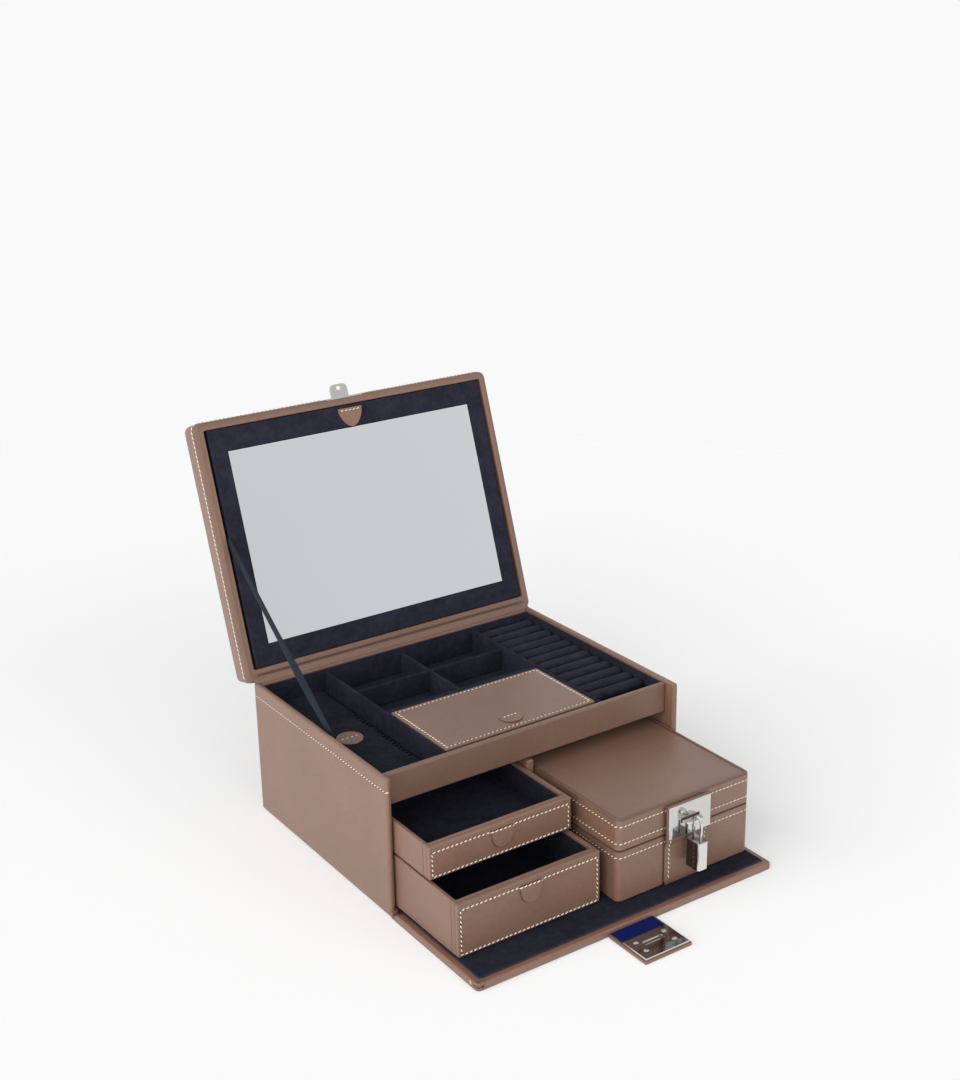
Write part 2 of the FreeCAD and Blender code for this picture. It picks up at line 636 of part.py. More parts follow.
def make_drawer(prefix, low):
    """Leather box with an applied front, a suede lining and a hanging leather tab."""
    left = "(-inner_side + drawer_side_gap)"
    right = "(bay_left - drawer_side_gap)"
    face = f"(case_front - {prefix}_pull)"
    box_front = f"({face} + drawer_front_thickness)"
    back = f"({face} + inner_back - rail_face - drawer_back_gap)"
    top = f"({low} + {prefix}_height)"
    outside = (left, right), (box_front, back)
    keep(open_box(f"{prefix}_box", *outside, low, top, "drawer_wall", "drawer_floor"), f"{prefix}_box")
    inside = ((f"({left} + drawer_wall)", f"({right} - drawer_wall)"),
              (f"({box_front} + drawer_wall)", f"({back} - drawer_wall)"))
    heights = f"({low} + drawer_floor)", f"({top} - drawer_lining_drop)"
    keep(open_box(f"{prefix}_lining", *inside, *heights, "lining", "lining"), f"{prefix}_lining")

    def face_edge(point, _, box):
        return near(point.y, box.YMin)

    front = (left, right), (face, box_front), (low, top)
    keep(rounded_board(f"{prefix}_front", *front, "drawer_round", face_edge), f"{prefix}_front")
    hung_at = f"({left} + {right}) / 2", face, f"{top} - drawer_tab_drop"
    make_tab(f"{prefix}_tab", hung_at, "drawer_tab_length", "XZ_Plane")


def make_drawers():
    """Lower drawer on the floor lining, a shelf over it and the upper drawer on the shelf."""
    make_drawer("lower_drawer", "lower_drawer_level")
    heights = ("shelf_level", "shelf_level + shelf_thickness")
    shelf = board("drawer_shelf", ("-inner_side", "bay_left"), ("rail_face", "inner_back"), heights)
    keep(shelf, "drawer_shelf")
    make_drawer("upper_drawer", "upper_drawer_level")


# Hasp plates, staples and the padlock

def cut_slot(piece, name, level, role, face, depth):
    """Cut the slot that a staple's tongue passes through."""
    across = ("-slot_half_width", "slot_half_width")
    up = (f"{level} - slot_half_height", f"{level} + slot_half_height")
    pocket(piece, rectangle(piece, name, across, up, role, face), depth)


def make_plate(name, place_at, role, slot_shift):
    """A slotted plate with bevelled edges, drawn about its own middle."""
    piece = body(name, *place_at)
    across = ("-plate_width / 2", "plate_width / 2")
    up = ("-plate_height / 2", "plate_height / 2")
    plate = pad(piece, rectangle(piece, f"{name}_outline", across, up, role), "plate_thickness")
    box = plate.Shape.BoundBox

    def face_edge(point, direction):
        if role == "XZ_Plane":
            return near(point.y, box.YMin) and abs(direction.y) < 0.5
        return near(point.z, box.ZMax) and abs(direction.z) < 0.5

    dress(piece, plate, "Chamfer", "Size", "plate_bevel", face_edge)
    cut_slot(piece, f"{name}_slot", slot_shift, role, "plate_thickness", "plate_thickness")
    keep(piece, name)


def make_staple(name, piece, offset, face, level):
    """A base plate on an upright face and a tongue with a hole that stands out of it."""
    half_width = "staple_base_width / 2"
    half_height = "staple_base_height / 2"
    across = (f"{offset} - {half_width}", f"{offset} + {half_width}")
    up = (f"{level} - {half_height}", f"{level} + {half_height}")
    pad(piece, rectangle(piece, f"{name}_base", across, up, "XZ_Plane", face), "staple_base_thickness")
    tip = f"-({face} + tongue_length)"
    low = f"({level} - tongue_thickness / 2)"
    across = (f"{offset} - tongue_width / 2", f"{offset} + tongue_width / 2")
    outline = rectangle(piece, f"{name}_tongue", across, (tip, f"-({face})"), lift=low)
    tongue = pad(piece, outline, "tongue_thickness")
    reach = tongue.Shape.BoundBox.YMin
    round_edges(piece, tongue, "tongue_round",
                lambda point, direction: upright(point, direction) and near(point.y, reach))
    top = f"{low} + tongue_thickness"
    hole = circles(piece, f"{name}_hole", [(offset, f"{tip} + staple_hole_edge")], "staple_hole", top)
    pocket(piece, hole, "tongue_thickness")
    keep(piece, name)


def make_padlock():
    """Padlock hung on the casket's staple, its flat body square to the casket's front."""
    rear_leg = "(casket_front - tongue_length + staple_hole_edge)"
    middle_y = f"({rear_leg} - shackle_spacing / 2)"
    block = body("padlock_body", "casket_middle", middle_y, "padlock_top - padlock_height")
    across = ("-padlock_thickness / 2", "padlock_thickness / 2")
    up = ("-padlock_width / 2", "padlock_width / 2")
    blank = pad(block, rectangle(block, "padlock_outline", across, up), "padlock_height")
    dress(block, blank, "Chamfer", "Size", "padlock_bevel", upright)
    legs = [("0", "-shackle_spacing / 2"), ("0", "shackle_spacing / 2")]
    bore = "shackle_wire + 2 * shackle_fit"
    pocket(block, circles(block, "shackle_holes", legs, bore, "padlock_height"), "shackle_seat")
    keep(block, "padlock_body")
    crown = "(hasp_level + tongue_thickness / 2 + shackle_play)"
    bow_foot = f"({crown} + shackle_wire / 2 - shackle_spacing / 2)"
    foot = "(padlock_top - shackle_seat)"
    pieces = []
    for name, sign in (("rear_leg", "+"), ("front_leg", "-")):
        leg = doc.addObject("Part::Cylinder", name)
        leg.setExpression("Radius", bound("shackle_wire / 2"))
        leg.setExpression("Height", bound(f"{bow_foot} - {foot}"))
        place(leg, "casket_middle", f"{middle_y} {sign} shackle_spacing / 2", foot)
        pieces.append(leg)
    bow = doc.addObject("Part::Torus", "shackle_bow")
    bow.setExpression("Radius1", bound("shackle_spacing / 2"))
    bow.setExpression("Radius2", bound("shackle_wire / 2"))
    bow.Angle3 = 180
    bow.Placement.Rotation = FreeCAD.Rotation(Vector(0, 1, 0), Vector(0, 0, 1), Vector(1, 0, 0), "XYZ")
    place(bow, "casket_middle", middle_y, bow_foot)
    shackle = doc.addObject("Part::MultiFuse", "padlock_shackle")
    shackle.Shapes = pieces + [bow]
    keep(shackle, "padlock_shackle")


# Casket

def make_casket():
    """Casket base and lid with rounded corners, their linings, and the leather hinge behind."""
    back = "(casket_front + casket_depth)"
    outline = ("casket_left", "casket_right"), ("casket_front", back)
    heights = "casket_bottom", "casket_seam"
    base = open_box("casket_base", *outline, *heights, "casket_wall", "casket_floor", "casket_corner")
    keep(base, "casket_base")
    inside = (("(casket_left + casket_wall)", "(casket_right - casket_wall)"),
              ("(casket_front + casket_wall)", f"({back} - casket_wall)"))
    heights = "(casket_bottom + casket_floor)", "casket_seam"
    inner_corner = "(casket_corner - casket_wall)"
    keep(open_box("casket_lining", *inside, *heights, "lining", "lining", inner_corner), "casket_lining")
    lid = body("casket_lid", "casket_left", "casket_front", "casket_lid_level")
    width = "(casket_right - casket_left)"
    across = ("0", width), ("0", "casket_depth")
    block = pad(lid, rectangle(lid, "casket_lid_outline", *across), "casket_lid_height")
    round_edges(lid, block, "casket_corner", upright)
    room = ("casket_wall", f"{width} - casket_wall"), ("casket_wall", "casket_depth - casket_wall")
    hollow = rectangle(lid, "casket_lid_hollow", *room)
    cut = pocket(lid, hollow, "casket_lid_height - casket_floor", along_normal=True)
    round_hollow(lid, cut, "casket_wall", inner_corner)
    keep(lid, "casket_lid")
    roof = "(casket_lid_level + casket_lid_height - casket_floor)"
    card = [(f"{low} + {inner_corner}", f"{high} - {inner_corner}") for low, high in inside]
    keep(board("casket_lid_lining", *card, (f"{roof} - lining", roof)), "casket_lid_lining")
    half = "(casket_hinge_width / 2)"
    across = (f"casket_middle - {half}", f"casket_middle + {half}")
    rise = "(casket_hinge_height / 2)"
    hinge = (back, f"{back} + hinge_leather"), (f"casket_seam - {rise}", f"casket_seam + {rise}")
    keep(board("casket_hinge_leather", across, *hinge), "casket_hinge_leather")


def make_casket_hasp():
    """Strap flat on the casket's base and standing forward over the staple, its plate and the staple."""
    strap = body("casket_strap", "casket_middle", "casket_front", "hasp_level")
    half = "(plate_height / 2 + strap_margin)"
    foot = "casket_bottom + strap_foot - hasp_level"
    slope = f"-{half} - strap_slope"
    inner = "-(staple_base_thickness + strap_gap)"
    outer = "-strap_standoff"
    points = [("0", foot), ("-strap_thickness", foot), ("-strap_thickness", slope), (outer, f"-{half}"),
              (outer, half), (inner, half), (inner, f"-{half}"), ("0", slope)]
    half_width = "(plate_width / 2 + strap_margin)"
    pad(strap, polygon(strap, "strap_profile", points, "YZ_Plane", f"-{half_width}"), f"2 * {half_width}")
    cut_slot(strap, "strap_slot", "0", "XZ_Plane", "strap_standoff", "strap_thickness")
    keep(strap, "casket_strap")
    plate_at = "casket_middle", "casket_front - strap_standoff", "hasp_level"
    make_plate("casket_plate", plate_at, "XZ_Plane", "0")
    staple = body("casket_staple", "casket_middle", "casket_front", "hasp_level")
    make_staple("casket_staple", staple, "0", "0", "0")


# Lid

def make_lid():
    """Lid shell with a hollow for the mirror panel, and its staple; drawn shut and turned open."""
    half = "case_width / 2"
    shell = lid_body("lid_shell")
    outline = (f"-{half}", half), ("-lid_depth", "0")
    block = pad(shell, rectangle(shell, "shell_outline", *outline), "lid_thickness")
    box = block.Shape.BoundBox

    def outer_edge(point, direction):
        front_corner = upright(point, direction) and near(point.y, box.YMin)
        return front_corner or near(point.z, box.ZMax)

    round_edges(shell, block, "lid_round", outer_edge)
    room = ("-lid_inner_side", "lid_inner_side"), ("-lid_inner_front", "-lid_back_band")
    pocket(shell, rectangle(shell, "shell_hollow", *room), "lid_thickness - lid_board", along_normal=True)
    keep(shell, "lid_shell")
    make_staple("lid_staple", lid_body("lid_staple"), "-hasp_offset", "lid_depth", "lid_staple_level")


def make_mirror_panel():
    """Suede covered panel that closes the lid's hollow, with the mirror in a recess and a leather tab."""
    panel = lid_body("mirror_panel")
    outline = ("-panel_side", "panel_side"), ("-panel_top", "-panel_low")
    pad(panel, rectangle(panel, "panel_face", *outline, lift="frame_set_back"), "frame_thickness")
    side = "(panel_side - mirror_side_margin)"
    low = "(panel_low + mirror_low_margin)"
    top = "(panel_top - mirror_top_margin)"
    fit = "mirror_fit"
    room = (f"-{side} - {fit}", f"{side} + {fit}"), (f"-{top} - {fit}", f"-{low} + {fit}")
    recess = rectangle(panel, "mirror_recess", *room, lift="frame_set_back")
    pocket(panel, recess, "mirror_set_back + mirror_thickness", along_normal=True)
    keep(panel, "mirror_panel")
    glass = lid_body("mirror_glass")
    pane = (f"-{side}", side), (f"-{top}", f"-{low}")
    pad(glass, rectangle(glass, "pane", *pane, lift="frame_set_back + mirror_set_back"), "mirror_thickness")
    keep(glass, "mirror_glass")
    tab = lid_body("mirror_tab")
    half = "(mirror_tab_width / 2)"
    sewn = "(panel_top - mirror_tab_inset)"
    flap = (f"-{half}", half), (f"-{sewn}", f"-({sewn} - mirror_tab_length)")
    outline = rectangle(tab, "mirror_tab_outline", *flap, lift="frame_set_back - tab_thickness")
    leather = pad(tab, outline, "tab_thickness")
    free = leather.Shape.BoundBox.YMax
    round_edges(tab, leather, f"{half} - tab_thickness",
                lambda point, direction: upright(point, direction) and near(point.y, free))
    keep(tab, "mirror_tab")


def make_hinge_leather():
    """Leather strip along the hinge: up the lid's band on one side, over the back board on the other."""
    strip = body("lid_hinge_leather", "0", "case_back", "case_top")
    reach = "(lid_back_band - hinge_margin)"
    along = f"-cos(lid_angle) * {reach}", f"sin(lid_angle) * {reach}"
    off = "-sin(lid_angle) * hinge_leather", "-cos(lid_angle) * hinge_leather"
    seat = "-(wall - hinge_margin)"
    seat_top = "-(spine_drop - hinge_leather)"
    points = [along, ("0", "0"), ("0", "-spine_drop"), (seat, "-spine_drop"), (seat, seat_top),
              (off[0], seat_top), (f"{along[0]} {off[0]}", f"{along[1]} {off[1]}")]
    pad(strip, polygon(strip, "hinge_profile", points, "YZ_Plane", "-inner_side"), "2 * inner_side")
    keep(strip, "lid_hinge_leather")


def make_stay():
    """Ribbon stay pulled straight between the lid's left rim and the tray's left lining."""
    angle = math.radians(SIZE["lid_angle"])
    side = box_of("left_side_board")
    lid_x = side.XMin + SIZE["lid_side_rim"] + SIZE["stay_clearance"]
    case_x = side.XMax + SIZE["lining"] + SIZE["stay_clearance"]
    rise = Vector(0, -math.cos(angle), math.sin(angle)) * SIZE["stay_on_lid"]
    upper = Vector(lid_x, side.YMax, side.ZMax) + rise
    lower = Vector(case_x, side.YMin + SIZE["stay_on_case"], side.ZMax - SIZE["stay_drop"])
    run = (upper - lower).normalize()
    across = run.cross(Vector(1, 0, 0)).normalize()
    half = across * (SIZE["stay_width"] / 2)
    corners = [lower - half, lower + half, upper + half, upper - half]
    face = Part.Face(Part.makePolygon(corners + corners[:1]))
    inward = run.cross(across).normalize()
    if inward.x < 0:
        inward = -inward
    piece = doc.addObject("Part::Feature", "stay_ribbon")
    piece.Shape = face.extrude(inward * SIZE["stay_thickness"])
    keep(piece, "stay_ribbon")


# Fall front

def make_fall_front():
    """Fall front flat on the table, its lining and the leather that joins it to the base."""
    half = "case_width / 2"

    def wrapped(point, _, box):
        return near(point.z, box.ZMax)

    flap = (f"-{half}", half), ("flap_edge", "flap_rear"), ("0", "flap_board_top")
    keep(rounded_board("flap_board", *flap, "flap_round", wrapped), "flap_board")
    inset = f"({half} - flap_rim)"
    lining = (f"-{inset}", inset), ("flap_edge + flap_rim", "flap_rear - flap_round")
    keep(board("flap_lining", *lining, ("flap_board_top", "flap_top")), "flap_lining")
    strip = ("-inner_side", "inner_side"), ("flap_rear + flap_strip_gap", "case_front"), ("0", "flap_strip")
    keep(board("flap_hinge_leather", *strip), "flap_hinge_leather")


def make_hasp():
    """Leather tab on the fall front's edge with its lining, its slotted plate and four screws."""
    root = "(flap_edge - hasp_tab_gap)"
    middle_x = "-hasp_offset"
    plate_y = f"({root} - hasp_tab_length + strap_margin + plate_height / 2)"
    tab = body("hasp_tab", middle_x, plate_y)
    half = "(plate_width / 2 + strap_margin)"
    span = ("-plate_height / 2 - strap_margin", f"{root} - {plate_y}")
    pad(tab, rectangle(tab, "hasp_tab_outline", (f"-{half}", half), span), "hasp_tab_leather")
    cut_slot(tab, "hasp_tab_slot", "hasp_slot_shift", "XY_Plane", "hasp_tab_leather", "hasp_tab_leather")
    keep(tab, "hasp_tab")
    side = f"({half} - hasp_tab_rim)"
    cover = (f"{middle_x} - {side}", f"{middle_x} + {side}"), (f"{plate_y} + plate_height / 2", root)
    heights = ("hasp_tab_leather", "hasp_tab_leather + hasp_tab_lining")
    keep(board("hasp_tab_lining", *cover, heights), "hasp_tab_lining")
    make_plate("hasp_plate", (middle_x, plate_y, "hasp_tab_leather"), "XY_Plane", "hasp_slot_shift")
    ball = "((screw_head ^ 2 / 4 + screw_dome ^ 2) / (2 * screw_dome))"
    across = "(plate_width / 2 - screw_side_inset)"
    rows = ("+ plate_height / 2 - screw_near_inset", "- plate_height / 2 + screw_far_inset")
    heads = []
    for index, (sign, row) in enumerate((sign, row) for sign in "-+" for row in rows):
        head = doc.addObject("Part::Sphere", f"screw_head{index}")
        head.setExpression("Radius", bound(ball))
        head.setExpression("Angle1", bound(f"asin(({ball} - screw_dome) / {ball})"))
        seat = f"hasp_tab_leather + plate_thickness + screw_dome - {ball}"
        place(head, f"{middle_x} {sign} {across}", f"{plate_y} {row}", seat)
        heads.append(head)
    group = doc.addObject("Part::Compound", "hasp_screws")
    group.Links = heads
    keep(group, "hasp_screws")


make_case_boards()
make_tray()
make_compartment_lid()
make_ring_cushions()
make_necklace_bay()
make_drawers()
make_casket()
make_casket_hasp()
make_padlock()
make_lid()
make_mirror_panel()
make_hinge_leather()
make_stay()
make_fall_front()
make_hasp()
doc.recompute()

for thing in doc.Objects:
    if {"Invalid", "Error"} & set(thing.State):
        raise RuntimeError(f"{thing.Label} failed: {thing.State}")
for piece in nodes:
    if piece.Shape.isNull() or not piece.Shape.isValid():
        raise RuntimeError(f"{piece.Label} has no valid shape")

os.makedirs("parts", exist_ok=True)
for piece in nodes:
    piece.Shape.exportStep(f"parts/{piece.Label}.step")
print(len(nodes), "sub-parts")
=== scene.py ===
"""Dresses a leather jewellery box: leather, suede, stitching, ring rolls, ribbon, metal and mirror."""

import json
import math

import bpy
import numpy as np
from mathutils import Matrix


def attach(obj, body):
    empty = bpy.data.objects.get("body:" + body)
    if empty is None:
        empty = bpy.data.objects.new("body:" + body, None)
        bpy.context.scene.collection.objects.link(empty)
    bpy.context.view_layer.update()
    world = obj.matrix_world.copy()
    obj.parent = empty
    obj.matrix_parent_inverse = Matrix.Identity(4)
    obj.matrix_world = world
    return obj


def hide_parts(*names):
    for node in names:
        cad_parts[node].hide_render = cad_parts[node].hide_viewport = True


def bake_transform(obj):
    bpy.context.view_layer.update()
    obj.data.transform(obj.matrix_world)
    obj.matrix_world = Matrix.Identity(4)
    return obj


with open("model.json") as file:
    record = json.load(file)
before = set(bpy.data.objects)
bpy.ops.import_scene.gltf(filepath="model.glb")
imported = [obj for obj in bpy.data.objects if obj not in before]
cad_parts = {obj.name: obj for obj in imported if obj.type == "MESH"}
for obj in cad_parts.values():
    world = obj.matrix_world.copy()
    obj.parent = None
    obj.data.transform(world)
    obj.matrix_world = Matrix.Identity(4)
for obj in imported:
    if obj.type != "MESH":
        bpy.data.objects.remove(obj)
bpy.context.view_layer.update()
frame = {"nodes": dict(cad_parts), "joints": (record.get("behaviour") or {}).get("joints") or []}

bl_info = {
    "name": "Leather jewellery box",
    "version": (1, 0, 0),
    "blender": (4, 5, 0),
    "location": "3D View > Sidebar > Jewellery box",
    "description": "Dresses the packed jewellery box in leather, suede, stitching, metal and mirror",
    "category": "Object",
}

MM = 0.001

# Least radius of a corner, and thickness of a lining's card
SHARP = 0.04 * MM
CARD = 1.0 * MM

# Depth of a stitch row as a share of its pressed line: on a level face and round a wall
ROW_DEPTH = 0.6
WALL_ROW_DEPTH = 0.7

# A pressed line: shares of its half width and of its depth, and its wear
PRESSED_LINE = ((-1, 0, 0), (-0.5, 0.6, -0.3), (0, 1, -0.8), (0.5, 0.6, -0.3), (1, 0, 0))

# Ends of the pieces' names where they aren't the finish's own name
ENDINGS = {"polished_metal": "metal", "mirror": "pane", "ribbon": "weave"}

# Soft suns: spread in degrees and the way that the light goes
LAMPS = {"key": (75, (1.0, 0.12, -0.36)), "front": (80, (0.0, 1.0, -0.14)), "top": (100, (0.05, 0.25, -1.0))}


# Settings

def length(name, description, millimetres):
    """A size in metres, given in millimetres."""
    return bpy.props.FloatProperty(name=name, description=description, default=millimetres * MM,
                                   min=0.0, precision=5, unit="LENGTH", subtype="DISTANCE")


def colour(name, description, *linear):
    """A linear colour."""
    return bpy.props.FloatVectorProperty(name=name, description=description, default=linear, size=3,
                                         min=0.0, max=1.0, subtype="COLOR")


def share(name, description, value, top=1.0):
    """A plain number from 0 to top."""
    return bpy.props.FloatProperty(name=name, description=description, default=value, min=0.0, max=top)


def angle(name, description, degrees):
    """An angle in radians, given in degrees."""
    return bpy.props.FloatProperty(name=name, description=description, default=math.radians(degrees),
                                   subtype="ANGLE")


class FinishSettings(bpy.types.PropertyGroup):
    """Colours of the box's finishes."""

    leather: colour("Leather", "Taupe leather", 0.190, 0.1055, 0.0725)
    leather_worn: colour("Worn edge", "Leather where an edge is rubbed", 0.178, 0.072, 0.040)
    # Seam colour, also used for painted shade where pieces are darkened for the shade on them
    leather_seam_and_shade: colour("Seam", "Leather pressed into a seam", 0.045, 0.022, 0.015)
    suede: colour("Suede", "Navy suede", 0.0062, 0.0064, 0.0100)
    # Lifted nap colour, also used for painted highlights on suede
    suede_nap_and_highlight: colour("Suede nap", "Suede where the nap is brushed up", 0.036, 0.037, 0.056)
    ribbon: colour("Ribbon", "Slate ribbon of the lid stay", 0.0065, 0.0092, 0.0145)
    blue_leather: colour("Blue leather", "Lining of the clasp tab", 0.0004, 0.0085, 0.090)
    thread: colour("Thread", "Cream sewing thread", 0.83, 0.74, 0.63)
    dark_thread: colour("Dark thread", "Brown thread of the lid hinge", 0.060, 0.026, 0.016)
    metal: colour("Metal", "Polished fittings", 0.76, 0.745, 0.725)
    # Painted dark reflection: mixed into the padlock's wide faces and the plates' faces for the dark
    # surroundings that they mirror, and into the screw heads
    painted_dark_reflection: colour("Tarnish", "Dark burnished faces of the padlock and the clasp", 0.075, 0.071, 0.070)
    mirror: colour("Mirror", "Silvered glass", 0.94, 0.965, 1.0)


class SewingSettings(bpy.types.PropertyGroup):
    """Stitches and seams."""

    pitch: length("Pitch", "Stitch to stitch", 3.9)
    thread: length("Thread", "Thickness of the drawers' thread", 0.86)
    fine_thread: length("Fine thread", "Thickness of the thread elsewhere", 0.74)
    lid_thread: length("Lid thread", "Thickness of the thread round the lid", 0.72)
    hinge_thread: length("Hinge thread", "Thickness of the dark thread along the lid's hinge", 0.50)
    bite: share("Bite", "Length of a stitch against the pitch", 0.83)
    close_bite: share("Close bite", "Length of a stitch round the lid against the pitch", 0.95)
    slant: angle("Slant", "Turn of each stitch against its row", 20)
    groove: length("Groove", "Depth of a pressed line", 0.4)
    groove_width: length("Groove width", "Half the width of a pressed line", 0.7)


class LeatherSettings(bpy.types.PropertyGroup):
    """How the leather is wrapped and where its rows are sewn."""

    wrap: length("Wrap", "Rounding of a board's leather wrapped edge", 2.3)
    edge: length("Edge", "Rounding of a thin leather edge", 0.45)
    grain: length("Grain", "Size of the leather's pebble", 1.0)
    wall_row: length("Wall row", "Side walls' stitch row below the top", 11.0)
    lid_row: length("Lid row", "Lid's stitch row behind its rim", 8.6)
    lid_crease: length("Lid crease", "Lid's wide crease behind its rim", 4.4)
    lid_bead: length("Lid bead", "Lid's narrow crease behind its rim", 1.9)
    lid_swell: length("Lid swell", "How far the lid's padded side stands out at its stitch row", 1.4)
    # Painted shade on the lid's rolled side, from its rim up to its stitch row
    lid_painted_shade: share("Lid shade", "How much darker the lid's rolled side is than its back", 0.22)
    lid_overhang: length("Lid overhang", "Padding of the lid's left and right sides beyond the case", 2.2)
    lid_shoulder: length("Lid shoulder", "Rounding of the lid's outer edge", 6.0)
    front_row: length("Front row", "Drawer fronts' stitch row inside the sides", 2.6)
    front_row_top: length("Front row top", "Drawer fronts' stitch row below the rim", 5.0)
    front_row_foot: length("Front row foot", "Drawer fronts' stitch row above the lower edge", 2.0)
    pad_row: length("Lid pad row", "Compartment lid's stitch row inside the edge", 3.4)
    tab_lift: length("Tab lift", "How far a drawer's tab hangs clear of the front", 1.3)
    drawer_crease: length("Drawer crease", "Crease on a drawer's side behind its front board", 4.7)
    casket_top_row: length("Casket top row", "Casket lid's upper stitch row below its top", 6.2)
    casket_low_row: length("Casket low row", "Casket lid's lower stitch row above its edge", 6.0)
    casket_base_row: length("Casket base row", "Casket base's stitch row below its edge", 5.6)
    casket_welt: length("Casket welt", "Welt round the casket lid's top", 2.5)
    strap_row: length("Strap row", "Strap's stitch rows inside its edges", 4.3)


class FittingSettings(bpy.types.PropertyGroup):
    """Metal fittings that the frame's boxes alone don't give."""

    bevel: length("Bevel", "Bevel of plates and staples", 0.5)
    ease: length("Ease", "Eased edge of metal", 0.18)
    tongue_width: length("Tongue width", "Staple's tongue", 17.0)
    tongue_thickness: length("Tongue thickness", "Staple's tongue", 1.8)
    tongue_corner: length("Tongue corner", "Rounding of the tongue's corners", 4.5)
    staple_base: length("Staple base", "Thickness of a staple's base plate", 1.5)
    hole: length("Hole", "Hole in the tongue, diameter", 4.2)
    hole_edge: length("Hole to end", "Hole's middle to the tongue's end", 3.5)
    slot_width: length("Slot width", "Slot in a hasp plate", 18.6)
    slot_height: length("Slot height", "Slot in a hasp plate", 4.4)
    slot_shift: length("Slot shift", "Clasp plate's slot behind the plate's middle", 3.0)
    padlock_bevel: length("Padlock bevel", "Bevel of the padlock's upright edges", 1.6)


class StageSettings(bpy.types.PropertyGroup):
    """Floor, light and camera."""

    floor: colour("Floor", "Pale floor", 0.60, 0.60, 0.60)
    backdrop: share("Backdrop", "Brightness of the background", 0.945)
    dimming: share("Dimming", "How much dimmer the studio is in front, as mirrored by glossy pieces", 0.35)
    ambient: share("Ambient", "Light of the surroundings", 0.30, 4.0)
    key: share("Key", "Strength of the soft light from the left", 4.0, 10.0)
    top: share("Top", "Strength of the soft light from above", 0.35, 10.0)
    glow: share("Floor glow", "Light that the floor gives by itself", 0.325)
    front: share("Front", "Strength of the soft light from the front", 2.55, 10.0)
    focal: bpy.props.FloatProperty(name="Focal length", description="Camera lens in millimetres",
                                   default=55.31)
    azimuth: angle("Azimuth", "Camera to the left of the front", -33.978)
    elevation: angle("Elevation", "Camera above the horizon", 19.997)
    roll: angle("Roll", "Camera's roll", -1.128)
    eye: bpy.props.FloatVectorProperty(name="Eye", description="Where the camera stands", size=3,
                                       default=(-0.6819, -1.0386, 0.6939), subtype="XYZ")


class BoxSettings(bpy.types.PropertyGroup):
    """All settings of the jewellery box."""

    finish: bpy.props.PointerProperty(type=FinishSettings)
    sewing: bpy.props.PointerProperty(type=SewingSettings)
    leather: bpy.props.PointerProperty(type=LeatherSettings)
    fitting: bpy.props.PointerProperty(type=FittingSettings)
    stage: bpy.props.PointerProperty(type=StageSettings)


def settings():
    """The scene's settings of the jewellery box."""
    return bpy.context.scene.jewellery_box


# Places and outlines

def points_of(node):
    """Vertices of a CAD node."""
    mesh = frame["nodes"][node].data
    flat = np.zeros(len(mesh.vertices) * 3, np.float32)
    mesh.vertices.foreach_get("co", flat)
    return flat.reshape(-1, 3).astype(float)


def unit(vectors):
    """Vectors divided by their own lengths."""
    return vectors / np.linalg.norm(vectors, axis=-1, keepdims=True)


def tangents(path):
    """Unit steps along a path."""
    return unit(np.gradient(path, axis=0))


def travelled(path):
    """Distance along a path at each of its points."""
    return np.concatenate([[0], np.cumsum(np.linalg.norm(np.diff(path, axis=0), axis=1))])


def read_at(where, reach, values):
    """Values at given distances along a path, on straight lines between its points."""
    return np.stack([np.interp(where, reach, values[:, k]) for k in range(3)], -1)


def at_level(flat, level):
    """Flat points with the same third coordinate."""
    return np.column_stack([flat, np.full(len(flat), level)])


class Place:
    """An origin with three axes: outlines lie along the first two and levels along the third."""

    def __init__(self, origin, *axes):
        self.origin = np.array(origin, float)
        self.axes = np.array(axes, float)

    def world(self, points):
        """Points of this place in the part's frame."""
        return self.origin + np.asarray(points) @ self.axes

    def extent(self, node):
        """Lowest and highest corner of a CAD node along this place's axes."""
        local = (points_of(node) - self.origin) @ self.axes.T
        return local.min(0), local.max(0)


RIGHT, BACK, UP = np.eye(3)
FLAT = Place((0, 0, 0), RIGHT, BACK, UP)
FRONTAL = Place((0, 0, 0), RIGHT, UP, -BACK)
ALONG_Y = Place((0, 0, 0), RIGHT, UP, BACK)
ALONG_X = Place((0, 0, 0), BACK, UP, RIGHT)

# Plain covered boards: body, finish, place, rounding in millimetres, wear of the edges, and painted shade all
# over
BOARDS = {
    "back_board": ("case", "leather", FRONTAL, 1.2, 0.25, 0.0),
    "base_board": ("case", "leather", FLAT, 0.8, 0.25, 0.0),
    "front_rail": ("case", "leather", ALONG_X, 1.5, 0.25, 0.26),
    "bay_divider": ("case", "leather", ALONG_Y, 1.5, 0.25, 0.0),
    "drawer_shelf": ("case", "suede", FLAT, 0.5, 0.25, 0.0),
    "floor_lining": ("case", "suede", FLAT, 0.4, 0.25, 0.0),
    "tray_floor": ("case", "suede", FLAT, 0.4, 0.25, 0.0),
    "left_divider": ("case", "suede", ALONG_Y, 1.3, 0.8, 0.0),
    "right_divider": ("case", "suede", ALONG_Y, 1.3, 0.8, 0.0),
    "grid_middle_divider": ("case", "suede", ALONG_Y, 1.3, 0.8, 0.0),
    "compartment_divider": ("case", "suede", ALONG_X, 1.3, 0.8, 0.0),
    "compartment_hinge_strip": ("case", "suede", FLAT, 0.5, 0.25, 0.0),
    "compartment_ledge": ("case", "suede", FLAT, 0.8, 0.25, 0.0),
    "ring_bed": ("case", "suede", FLAT, 0.6, 0.25, 0.0),
    "casket_lid_lining": ("casket_cover", "suede", FLAT, 0.3, 0.25, 0.0),
    "hasp_tab_lining": ("hasp", "blue_leather", FLAT, 0.3, 0.25, 0.0),
}


def joint(name):
    """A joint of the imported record."""
    return next(row for row in frame["joints"] if row["name"] == name)


